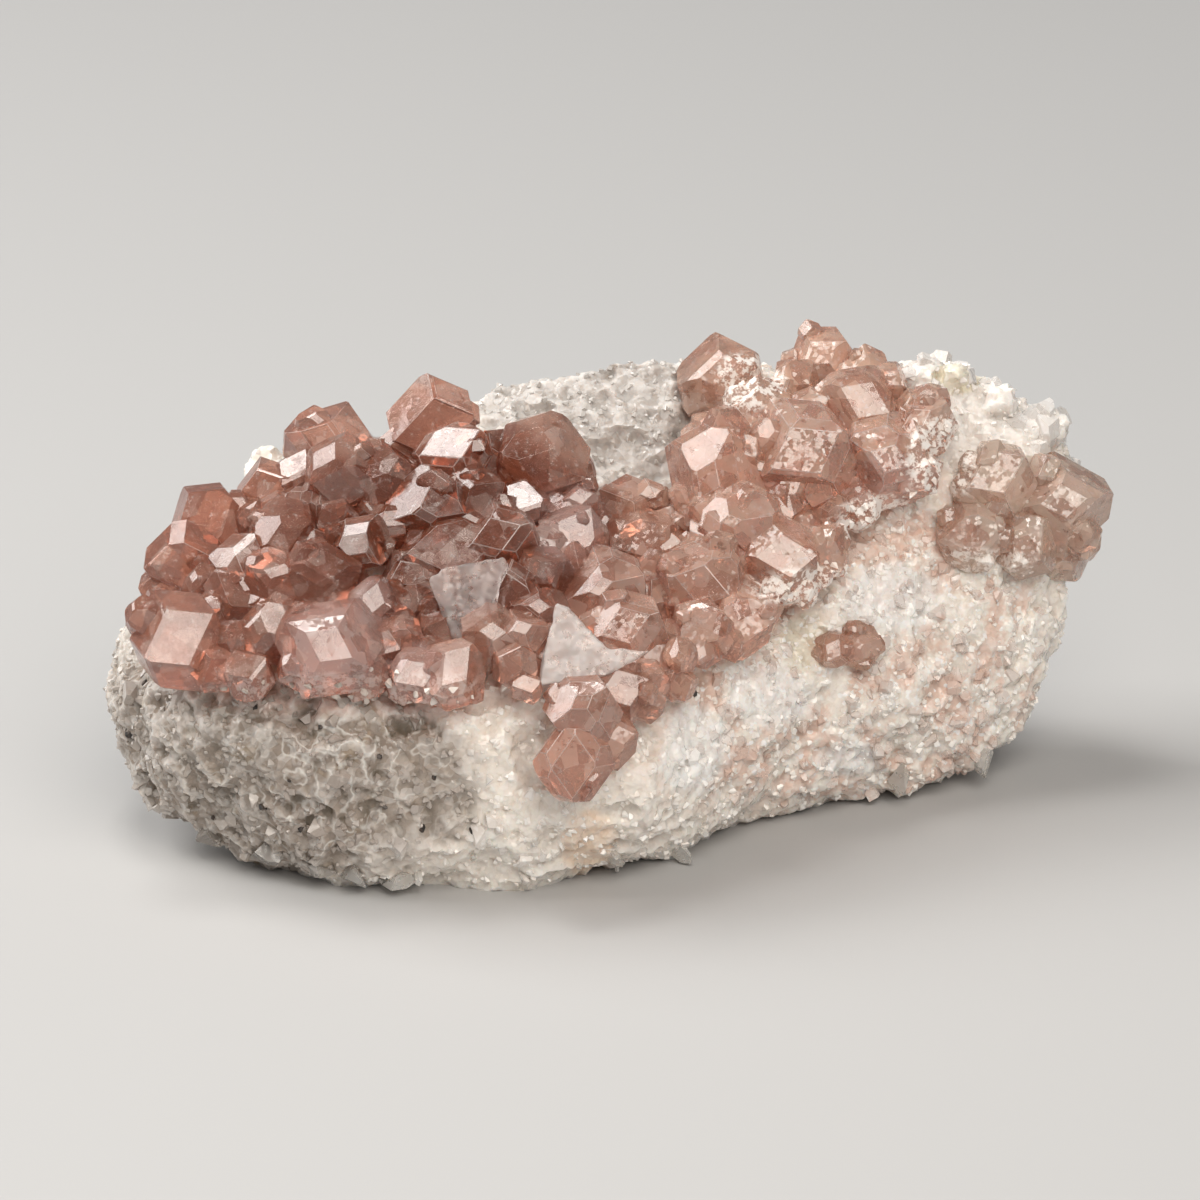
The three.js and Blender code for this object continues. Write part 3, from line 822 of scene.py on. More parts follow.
@dataclass(frozen=True)
class GarnetFinish:
    """Clear to cloudy pink garnet.

    Attributes:
        name: the material's name.
        pale: the colour of the palest crystals.
        deep: the colour of the deepest ones.
        warm: the colour that the crystals towards the right end take.
        straw: the colour of the cluster at the far right.
        clear: the share of light that goes through.
    """

    name: str
    pale: Colour = (0.95, 0.64, 0.51)
    deep: Colour = (0.46, 0.21, 0.145)
    warm: Colour = (1.0, 0.77, 0.60)
    straw: Colour = (1.0, 0.90, 0.77)
    clear: float = 0.66

    def make(self) -> bpy.types.Material:
        """Returns the finished material."""
        g = Graph(self.name)
        across = g.node("SeparateXYZ", None, {0: g.spot}, "X")
        right = across.ramp(-5 * MM, 9 * MM)
        tone = g.attribute("tone")
        slant, depth = g.facets(0.75)
        glitter, spark = g.facets(0.16)
        body = g.mix(g.attribute("tint") * 0.45 + tone * 0.55, self.deep, self.pale)
        body = g.mix(right * 0.75, body, self.warm)
        body = g.patched(body, DEEP_PATCHES)
        far = across.ramp(12 * MM, 16 * MM)
        body = g.mix(far * 0.8, body, self.straw)
        body = g.patched(body, PALE_PATCHES, 0.1)
        body = g.mix(depth.ramp(0.45, 0.1) * 0.5, body, self.deep)
        body = g.mix(depth.ramp(0.7, 0.95) * 0.4, body, (0.97, 0.76, 0.66))
        blush = g.noise(1.3, 3.0, 0.6, 12.0)
        body = g.mix(blush.ramp(0.48, 0.62) * (right - far * 0.6) * 0.45, body, (0.80, 0.44, 0.34))
        veil = g.noise(0.3, 3.0, 0.65, 4.0).ramp(0.565, 0.695)
        body = g.mix(veil * (0.5 + right * 0.3), body, (0.97, 0.86, 0.80))
        body = g.mix(g.noise(0.6, 3.0, 0.6, 9.0).ramp(0.585, 0.71) * 0.6, body, (0.36, 0.16, 0.09))
        sugar = g.noise(0.4, 3.0, 0.7, 6.0)
        # painted glints: a few small cells towards the right take the white shader, as if they caught the
        # light; the frosted spots added next are real white sugar
        frost = spark.ramp(0.965, 0.99) * right * 0.5
        for oval, share in FROSTED_SPOTS:
            frost = frost + g.zone(*oval) * sugar.ramp(0.42, 0.55) * share
        edge = g.attribute("edge")
        # pale edges: partly the whiteness of worn edges, partly a painted highlight where the edges catch the
        # light
        body = g.mix(edge * 0.55, body, (0.98, 0.89, 0.84))
        rough = 0.04 + tone * 0.1 + g.noise(0.7, 2.0, 0.5, 2.0).ramp(0.45, 0.8) * 0.2 + edge * 0.15
        inner = g.bump(slant * (0.6 + right * 0.4), 0.075, 0.5)
        normal = g.bump(glitter * (0.08 + right * 0.5), 0.07, 0.6, inner)
        constants = {"IOR": 1.73, "Transmission Weight": self.clear}
        glass = g.shader(constants, Base_Color=body, Roughness=rough, Normal=normal)
        # the white shader is sugar frost on the frosted spots, and a painted glint on the glint cells
        white = g.mix(sugar.ramp(0.45, 0.65), (0.93, 0.83, 0.76), (0.97, 0.94, 0.90))
        sugary = g.shader({"IOR": 1.5}, Base_Color=white, Roughness=0.2 + sugar * 0.4, Normal=normal)
        g.surface(glass, sugary, frost.ramp(0.0, 1.0) * 0.9)
        g.absorb((0.92, 0.58, 0.43), 330.0)
        return g.material


@dataclass(frozen=True)
class CalciteFinish:
    """Frosted, milky calcite.

    Attributes:
        name: the material's name.
        clear: the share of light that goes through.
        colour: the colour of the clearer parts.
        milk: the colour of the milky ones.
    """

    name: str
    clear: float
    colour: Colour = (0.96, 0.90, 0.87)
    milk: Colour = (0.95, 0.80, 0.74)

    def make(self) -> bpy.types.Material:
        """Returns the finished material."""
        g = Graph(self.name)
        frost = g.noise(0.5, 5.0, 0.65)
        body = g.mix(frost.ramp(0.35, 0.6), self.milk, self.colour)
        rough = 0.2 + frost.ramp(0.35, 0.7) * 0.3
        normal = g.bump(frost, 0.03, 0.5)
        constants = {
            "IOR": 1.6,
            "Transmission Weight": self.clear,
            "Subsurface Weight": 0.2,
            "Subsurface Radius": (1.0, 0.8, 0.7),
            "Subsurface Scale": 0.4 * MM,
        }
        g.surface(g.shader(constants, Base_Color=body, Roughness=rough, Normal=normal))
        g.absorb((0.95, 0.92, 0.88), 60.0)
        return g.material


@dataclass(frozen=True)
class RockFinish:
    """The broken rock: grey, cream and pinkish white, sugary and stained.

    Attributes:
        name: the material's name.
        cream: the colour of most of it.
        grey: the colour of its darkest patch.
        rosy: the colour of most stains on its right face.
        stains: small stains of other colours.
    """

    name: str
    cream: Colour = (0.97, 0.895, 0.81)
    grey: Colour = (0.32, 0.26, 0.215)
    rosy: Colour = (0.81, 0.585, 0.485)
    stains: tuple[Patch, ...] = (
        ((-0.4, 1.8, 1.2, 1.5), 0.7, (0.90, 0.66, 0.48)),
        ((8.6, 10.0, 1.2, 1.3), 0.5, (0.62, 0.57, 0.40)),
        ((15.0, 21.2, 1.2, 0.7), 0.5, (0.86, 0.76, 0.48)),
    )

    def make(self) -> bpy.types.Material:
        """Returns the finished material."""
        g = Graph(self.name)
        plane, grain = g.facets(0.42)
        crumb, shade = g.facets(0.18)
        body = g.mix(g.noise(3.2, 4.0, 0.6).ramp(0.35, 0.65), self.cream, (0.90, 0.82, 0.74))
        left, patch, right = g.zone(*LEFT_END), g.zone(*GREY_PATCH), g.zone(*RIGHT_FACE)
        body = g.mix(left * 0.95, body, DARK_LEFT)
        # painted shade: the hump is darkened against the strong light on its top; the ridge is a paler grey
        body = g.patched(body, ((HUMP, 0.9, (0.42, 0.385, 0.36)), (RIDGE, 0.6, (0.74, 0.70, 0.67))))
        body = g.mix(patch * 0.85, body, self.grey)
        body = g.patched(body, (((-9.5, 8.3, 6.5, 1.4), 0.7, (0.80, 0.64, 0.57)),))
        stain = g.noise(1.3, 3.0, 0.6, 5.0).ramp(0.54, 0.7) * left
        body = g.mix(stain * 0.7, body, (0.36, 0.27, 0.18))
        rosy = g.noise(1.6, 4.0, 0.65, 7.0).ramp(0.44, 0.58) * right
        body = g.mix(rosy * 0.9, body, self.rosy)
        body = g.patched(body, [(spot, 0.75, WHITE) for spot in WHITE_SPOTS])
        body = g.patched(body, self.stains)
        body = g.mix(grain.ramp(0.5, 1.0) * 0.25, body, (0.95, 0.91, 0.88))
        # painted glints: small white cells on the right face
        body = g.mix(shade.ramp(0.88, 0.95) * right * 0.8, body, GLINT)
        body = g.mix(shade.ramp(0.5, 0.0) * 0.2, body, (0.66, 0.54, 0.45))
        # painted light: pale winding lines on the grey left end and patch, as thin ridges catching the light;
        # the surface's shape has no such ridges
        ridge = g.creases(1.1, 11.0)
        body = g.mix(ridge * (left + patch) * 0.35, body, (0.80, 0.76, 0.71))
        hollow = g.attribute("hollow")
        # painted shade: the hollows of the relief are darkened, most on the grey left end and patch; painted
        # light: its ridges are made paler
        body = g.mix(hollow.ramp(0.1, 0.9) * (0.2 + (left + patch) * 0.45), body, (0.20, 0.16, 0.12))
        body = g.mix(hollow.ramp(-0.1, -0.9) * 0.3, body, (0.93, 0.89, 0.85))
        # painted shade: small dark spots, as the shade in pits that the surface's shape does not have
        pit_shade = g.noise(0.55, 2.0, 0.6, 3.0).ramp(0.36, 0.24)
        body = g.mix(pit_shade * (0.15 + left * 0.3), body, (0.30, 0.24, 0.18))
        rough = 0.1 + grain.ramp(0.3, 0.9) * (0.5 - right * 0.25)
        normal = g.bump(crumb, 0.1, 0.7, g.bump(plane, 0.2, 0.6))
        glow = {
            "IOR": 1.5,
            "Subsurface Weight": 0.35,
            "Subsurface Radius": (1.0, 0.75, 0.6),
            "Subsurface Scale": 0.5 * MM,
        }
        g.surface(g.shader(glow, Base_Color=body, Roughness=rough, Normal=normal))
        return g.material


GRAIN_PATCHES = (
    (LEFT_END, 0.7, DARK_LEFT),
    (GREY_PATCH, 0.8, (0.37, 0.31, 0.27)),
    # painted shade on the hump, as on its rock
    (HUMP, 0.85, (0.46, 0.43, 0.40)),
    (RIDGE, 0.3, (0.80, 0.76, 0.73)),
)


@dataclass(frozen=True)
class GrainFinish:
    """Small, partly clear grains of one kind.

    Attributes:
        name: the material's name.
        dull: the colour of stained grains.
        bright: the colour of clean ones.
        clear: the share of light that goes through.
    """

    name: str
    dull: Colour
    bright: Colour
    clear: float

    def make(self) -> bpy.types.Material:
        """Returns the finished material."""
        g = Graph(self.name)
        shade = g.attribute("tint")
        rosy = g.noise(1.6, 4.0, 0.65, 7.0).ramp(0.44, 0.58)
        body = g.mix(rosy * 0.75 + shade * 0.25, self.bright, self.dull)
        body = g.patched(body, [(spot, 0.65, WHITE) for spot in WHITE_SPOTS])
        # painted glints: small white cells on the grains
        spark = g.facets(0.18)[1]
        body = g.mix(spark.ramp(0.9, 0.96) * 0.8, body, GLINT)
        body = g.patched(body, GRAIN_PATCHES)
        body = g.mix(g.noise(0.4, 3.0, 0.6).ramp(0.555, 0.765) * 0.4, body, self.dull)
        rough = 0.12 + g.noise(0.5, 3.0, 0.5, 6.0).ramp(0.4, 0.65) * 0.5
        constants = {"IOR": 1.6, "Transmission Weight": self.clear}
        g.surface(g.shader(constants, Base_Color=body, Roughness=rough))
        return g.material


@dataclass(frozen=True)
class SpeckFinish:
    """Nearly black specks of ore.

    Attributes:
        name: the material's name.
    """

    name: str

    def make(self) -> bpy.types.Material:
        """Returns the finished material."""
        g = Graph(self.name)
        body = g.mix(g.noise(0.2).ramp(0.4, 0.6), (0.015, 0.012, 0.01), (0.07, 0.05, 0.04))
        g.surface(g.shader({"Roughness": 0.4}, Base_Color=body))
        return g.material


@dataclass(frozen=True)
class PaperFinish:
    """The pale floor.

    Attributes:
        name: the material's name.
        colour: its colour.
    """

    name: str
    colour: Colour = (0.50, 0.495, 0.49)

    def make(self) -> bpy.types.Material:
        """Returns the finished material."""
        g = Graph(self.name)
        g.surface(g.shader({"Roughness": 0.75, "Base Color": self.colour}))
        return g.material


@dataclass
class CrystalCutter:
    """Cuts garnets from blocks, face by face.

    Attributes:
        rounding: the width of the worn edge, in millimetres.
        block: the width of the block, as a multiple of the farthest face's distance.
        weld: metres within which corners are one.
    """

    rounding: float = 0.035
    block: float = 3.2
    weld: float = 2e-6

    def planes(self, crystal: Crystal, dice: Dice, own: Dice) -> Faces:
        """Works out a crystal's faces.

        Args:
            crystal: the crystal.
            dice: the stream that the solids' crystals use too.
            own: a stream for faces that only the finished crystal has.

        Returns:
            The faces.
        """
        right, up = crystal.face
        facing = math.sqrt(1 - right * right - up * up)
        normal = SIGHT.right * right + SIGHT.up * up - SIGHT.away * facing
        angle = math.radians(crystal.spin)
        wish = SIGHT.right * math.cos(angle) + SIGHT.up * math.sin(angle)
        diagonal = (wish - normal * wish.dot(normal)).normalized()
        side = diagonal.cross(normal)

        def plane(direction: tuple[int, int, int], share: float) -> tuple[Vector, float]:
            """Returns one face, grown by its share."""
            a, b, c = direction
            way = (normal * (a + b) + diagonal * (a - b)) * math.sqrt(0.5) + side * c
            way.normalize()
            stretch = math.sqrt(1 + (crystal.long**2 - 1) * way.dot(diagonal) ** 2)
            return way, crystal.size * share * stretch

        faces = [plane(direction, 1 + FACE_SPREAD * (dice.roll() - 0.5)) for direction in RHOMBS]
        stream = dice if crystal.size > EDGE_FROM else own
        faces += [plane(direction, EDGE_NEAREST + EDGE_SPREAD * stream.roll()) for direction in EDGES]
        return faces

    def cut(self, faces: Faces, spot: Vector, name: str) -> bpy.types.Object:
        """Cuts one crystal.

        Args:
            faces: its faces.
            spot: its middle, in metres.
            name: its name.

        Returns:
            The crystal, its edges a little worn.
        """
        deselect()
        reach = max(distance for _, distance in faces)
        bpy.ops.mesh.primitive_cube_add(size=self.block * reach * MM, location=spot)
        piece = bpy.context.object
        piece.name = name
        with editing(piece):
            for way, distance in faces:
                slice_off(spot + way * distance * MM, way)
            bpy.ops.mesh.remove_doubles(threshold=self.weld)
            bpy.ops.mesh.bevel(offset=self.rounding * MM, segments=1, affect="EDGES", clamp_overlap=True)
        settle(piece)
        return piece


@dataclass
class GarnetCluster:
    """Intergrown garnets, joined into one piece.

    Attributes:
        name: the piece's name.
        node: the solid that it stands for.
        crystals: its crystals.
        seed: the number of its stream in the solids.
        extra: smaller crystals that only the finished piece has.
        sprouts: how many small crystals grow out of each large one.
        busy_from: how far right twice as many do.
        shapes: every crystal's middle and faces, once built.
    """

    RETREATS = 5  # how often a crystal in front of a plate is set back
    RETREAT = 0.4  # millimetres each time
    RIM = (0.7, 1.0)  # where a sprout stands, as a share of its parent's size
    YOUNG = (0.25, 0.45)  # a sprout's size, as a share of its parent's
    YOUNG_LONG = (1, 1.3)
    YOUNG_LEAN = 0.7
    OUT = (0.3, 0.95)  # how far a sprout stands out, as a share of the way to its parent's surface
    ON_FACE = 0.002  # millimetres within which a place is on a face, and not on a worn edge

    name: str
    node: str
    crystals: Sequence[Crystal]
    seed: int
    extra: Sequence[Crystal] = ()
    sprouts: int = 2
    busy_from: float = 3.5
    shapes: list[tuple[Vector, Faces]] = field(default_factory=list)

    def build(self, floor: Floor, cutter: CrystalCutter, shield: Shield) -> bpy.types.Object:
        """Builds the cluster.

        Args:
            floor: what the lines of sight meet.
            cutter: cuts the crystals.
            shield: the plates that stay free.

        Returns:
            The piece.
        """
        dice = Dice(self.seed)
        own = Dice(self.seed + 1000)
        for crystal in self.crystals:
            self.shapes.append((floor.stand(crystal), cutter.planes(crystal, dice, own)))
        for crystal in self.extra:
            self.grow(crystal, floor.stand(crystal), cutter.planes(crystal, own, own), shield)
        self.sprout(cutter, own, shield)
        whole = self.unite([cutter.cut(faces, spot, self.name) for spot, faces in self.shapes])
        whole.name = self.name
        whole.data.name = self.name
        self.mark(whole)
        return whole

    def grow(self, crystal: Crystal, spot: Vector, faces: Faces, shield: Shield) -> None:
        """Adds a crystal, set further back where it would come through a plate.

        Args:
            crystal: the crystal.
            spot: its middle.
            faces: its faces.
            shield: the plates.
        """
        for _ in range(self.RETREATS):
            if not shield.pierced(spot, crystal.size):
                self.shapes.append((spot, faces))
                return
            spot = spot + SIGHT.away * self.RETREAT * MM

    def sprout(self, cutter: CrystalCutter, dice: Dice, shield: Shield) -> None:
        """Adds small crystals that grow out of the rims of the large ones.

        Args:
            cutter: works out their faces.
            dice: their stream.
            shield: the plates that stay free.
        """
        parents = list(zip(self.crystals, self.shapes))
        for crystal, (spot, _) in parents:
            is_busy = crystal.at[0] > self.busy_from
            for _ in range(self.sprouts * 2 if is_busy else self.sprouts):
                angle = dice.between(0, math.tau)
                reach = crystal.size * dice.between(*self.RIM)
                outward = SIGHT.right * math.cos(angle) + SIGHT.up * math.sin(angle)
                size = crystal.size * dice.between(*self.YOUNG)
                face = lean(dice, self.YOUNG_LEAN)
                young = Crystal(crystal.at, size, 0, face, 180 * dice.roll(), dice.between(*self.YOUNG_LONG))
                forward = math.sqrt(1.02 - (reach / crystal.size) ** 2) * dice.between(*self.OUT)
                place = spot + (outward * reach - SIGHT.away * crystal.size * forward) * MM
                self.grow(young, place, cutter.planes(young, dice, dice), shield)

    @staticmethod
    def unite(pieces: list[bpy.types.Object]) -> bpy.types.Object:
        """Joins pieces into one solid, two by two.

        Args:
            pieces: the pieces, which are used up.

        Returns:
            The solid.
        """
        while len(pieces) > 1:
            for first, second in zip(pieces[::2], pieces[1::2]):
                finish_with(first, "BOOLEAN", operation="UNION", object=second, solver="MANIFOLD")
                bpy.data.objects.remove(second, do_unlink=True)
            pieces = pieces[::2]
        return pieces[0]

    def mark(self, piece: bpy.types.Object) -> None:
        """Stores on each face which crystal it belongs to, as a tint, and whether it is on a worn edge, which
        the garnet material paints paler, partly as a painted highlight.

        Args:
            piece: the joined crystals.
        """
        mesh = piece.data
        centres = read(mesh.polygons, "center", 3)
        nearest = np.full(len(centres), np.inf)
        owner = np.zeros(len(centres), dtype=int)
        facet = np.zeros(len(centres), dtype=int)
        for number, (spot, faces) in enumerate(self.shapes):
            outside = beyond(centres, spot, faces)
            gap = np.abs(outside.max(axis=1))
            closer = gap < nearest
            nearest[closer] = gap[closer]
            owner[closer] = number
            facet[closer] = outside.argmax(axis=1)[closer]
        draw = np.random.default_rng(self.seed)
        tints = draw.uniform(0.0, 1.0, len(self.shapes))
        tones = draw.uniform(0.0, 1.0, (len(self.shapes), len(RHOMBS) + len(EDGES)))
        store(mesh, "tint", tints[owner], "FACE")
        store(mesh, "tone", tones[owner, facet], "FACE")
        store(mesh, "edge", (nearest > self.ON_FACE * MM).astype(float), "FACE")


def lean(dice: Dice, spread: float) -> tuple[float, float]:
    """Draws the lean of a crystal's broad face.

    Args:
        dice: the stream.
        spread: how much it varies.

    Returns:
        Its lean to the right and up.
    """
    return spread * (dice.roll() - 0.5), FACE_LIFT + spread * (dice.roll() - 0.5)


@dataclass(frozen=True)
class Filling:
    """Small crystals that are drawn into the gaps of the bed.

    Attributes:
        seed: the number of their stream.
        count: how many.
        tries: how often a place is drawn at most.
        sizes: the smallest and the largest.
        spread: how much the lean of their faces varies.
        lift: how far they stand out: a share of their size, and millimetres.
        room: what stays free round a crystal: a share of its size, and millimetres.
        plate: the size that counts for a calcite plate.
    """

    seed: int
    count: int
    tries: int
    sizes: tuple[float, float]
    spread: float
    lift: tuple[float, float]
    room: tuple[float, float]
    plate: float = 1.6

    def draw(self) -> list[Crystal]:
        """Returns the crystals."""
        dice = Dice(self.seed)
        taken = [(crystal.at, crystal.size) for crystal in BED_CRYSTALS]
        taken += [(plate.at, self.plate) for plate in PLATES]
        made = []
        for _ in range(self.tries):
            if len(made) == self.count:
                break
            at = (dice.between(*BED_ACROSS), dice.between(*BED_UP))
            size = dice.between(*self.sizes)
            face = lean(dice, self.spread)
            spin = 180 * dice.roll()
            if self.is_free(at, taken) and inside(*at, BED_OUTLINE):
                made.append(Crystal(at, size, self.lift[0] * size + self.lift[1], face, spin))
                taken.append((at, size))
        return made

    def is_free(self, at: tuple[float, float], taken: Sequence[tuple[tuple[float, float], float]]) -> bool:
        """Tells whether a place is clear of all crystals.

        Args:
            at: the place.
            taken: the places and sizes of the crystals.

        Returns:
            True where it is.
        """
        share, rest = self.room
        return all(math.dist(at, place) >= share * size + rest for place, size in taken)


FILL = Filling(41, 5, 4000, (0.9, 1.25), 0.5, (0.3, 0.0), (0.0, 1.55))  # as in the solids
EXTRA = Filling(17, 130, 6000, (0.55, 1.0), 0.8, (0.0, 0.35), (0.6, 0.15))


@dataclass
class CalcitePlate:
    """A frosted plate of calcite that lies on the garnet bed.

    Attributes:
        name: the piece's name.
        node: the solid that it stands for.
        at: where it is seen, across and up.
    """

    name: str
    node: str
    at: tuple[float, float]

    def build(self, nodes: dict[str, bpy.types.Object]) -> bpy.types.Object:
        """Builds the plate from its solid, with worn and wavy edges.

        Args:
            nodes: the solids by name.

        Returns:
            The piece.
        """
        piece = copy_of(nodes[self.node], self.name)
        merge_doubles(piece)
        finish_with(piece, "REMESH", mode="VOXEL", voxel_size=0.07 * MM)
        finish_with(piece, "SMOOTH", factor=0.5, iterations=4)
        for relief in (Relief("CLOUDS", 0.9, 0.22), Relief("VORONOI", 0.5, 0.1)):
            relief.press(piece, self.name)
        choose(piece)
        bpy.ops.object.shade_smooth_by_angle(angle=math.radians(50))
        return piece


PLATES = (
    CalcitePlate("frosted_plate", "calcite_plate", (-5.2, 11.3)),
    CalcitePlate("pointed_blade", "calcite_blade", (-0.6, 9.9)),
)
PLATE_CLARITY = (0.9, 0.65)  # the share of light that goes through each

# Small crystals round the foot of the plates, behind them
PLATE_CRYSTALS = (
    Crystal((-3.2, 10.4), 0.95, 0.4, (0.1, 0.2), 20, 1.1),
    Crystal((-3.5, 9.2), 0.8, 0.4, (-0.2, 0.1), 60, 1.2),
    Crystal((-2.7, 11.4), 0.9, 0.4, (0.2, 0.3), 0, 1.1),
    Crystal((-4.4, 8.9), 0.75, 0.5, (0.1, 0.0), 35, 1.1),
    Crystal((-3.0, 8.3), 0.6, 0.3, (0.0, 0.3), 15, 1.0),
)


@dataclass(frozen=True)
class Relief:
    """A procedural pattern that is pressed into a surface.

    Attributes:
        kind: the pattern's type.
        size: millimetres across one lump.
        height: millimetres from its lowest to its highest point.
        detail: octaves of a cloud pattern.
        middle: the pattern's value that leaves the surface where it is.
        creased: whether a cloud pattern has sharp creases.
    """

    kind: str
    size: float
    height: float
    detail: int = 2
    middle: float = 0.5
    creased: bool = False

    def press(self, piece: bpy.types.Object, name: str) -> None:
        """Presses it into a piece.

        Args:
            piece: the object.
            name: the start of the pattern's name.
        """
        pattern = bpy.data.textures.new(f"{name}_{self.kind.lower()}_{self.size}", self.kind)
        pattern.noise_scale = self.size * MM
        if self.kind == "CLOUDS":
            pattern.noise_depth = self.detail
            pattern.noise_type = "HARD_NOISE" if self.creased else "SOFT_NOISE"
        settings = {"texture": pattern, "texture_coords": "LOCAL", "mid_level": self.middle}
        finish_with(piece, "DISPLACE", strength=self.height * MM, **settings)


@dataclass
class RockMatrix:
    """The broken rock that the crystals grow on.

    Attributes:
        voxel: the fineness of its surface, in millimetres.
        reliefs: what roughens it, from coarse to fine.
        blurs: how often it is evened out to tell a hollow from a ridge.
        hollow: the depth of a full hollow, in millimetres.
        rise: how far above the table its flat underside is, in metres.
    """

    voxel: float = 0.182
    blurs: int = 12
    hollow: float = 0.18
    rise: float = 1e-6
    reliefs: tuple[Relief, ...] = (
        Relief("CLOUDS", 2.6, 0.8, 1),
        Relief("CLOUDS", 1.3, -0.75, 2, 0.3, True),
        Relief("VORONOI", 0.5, 0.1),
    )

    def build(self, nodes: dict[str, bpy.types.Object]) -> bpy.types.Object:
        """Builds the rock.

        Args:
            nodes: the solids by name.

        Returns:
            The piece.
        """
        piece = copy_of(nodes["matrix"], "rock")
        merge_doubles(piece)
        finish_with(piece, "REMESH", mode="VOXEL", voxel_size=self.voxel * MM)
        for relief in self.reliefs:
            relief.press(piece, "rock")
        self.flatten(piece)
        self.mark(piece)
        choose(piece)
        bpy.ops.object.shade_smooth_by_angle(angle=math.radians(35))
        return piece

    def mark(self, piece: bpy.types.Object) -> None:
        """Stores how far each place lies in a hollow, above 0, or on a ridge, below 0. The rock's material
        paints shade into the hollows and light onto the ridges from it.

        Args:
            piece: the rock.
        """
        mesh = piece.data
        count = len(mesh.vertices)
        ways = read(mesh.vertices, "normal", 3)
        first, second = read(mesh.edges, "vertices", 2, np.int32).T
        pairs = np.concatenate((first, second)), np.concatenate((second, first))
        around = np.bincount(pairs[0], minlength=count)
        places = smooth = read(mesh.vertices, "co", 3)
        for _ in range(self.blurs):
            sums = [np.bincount(pairs[0], smooth[pairs[1], axis], minlength=count) for axis in range(3)]
            smooth = np.stack(sums, axis=1) / around[:, None]
        depth = ((smooth - places) * ways).sum(axis=1)
        store(mesh, "hollow", np.clip(depth / (self.hollow * MM), -1, 1), "POINT")

    def flatten(self, piece: bpy.types.Object) -> None:
        """Cuts off what hangs below the surface that the stone rests on.

        Args:
            piece: the rock.
        """
        with editing(piece):
            slice_off((0, 0, self.rise), (0, 0, -1))
            bpy.ops.mesh.quads_convert_to_tris()


class Habit(Enum):
    """The shape of a grain."""

    SUGAR = "sugar"
    POINT = "point"
    CHIP = "chip"


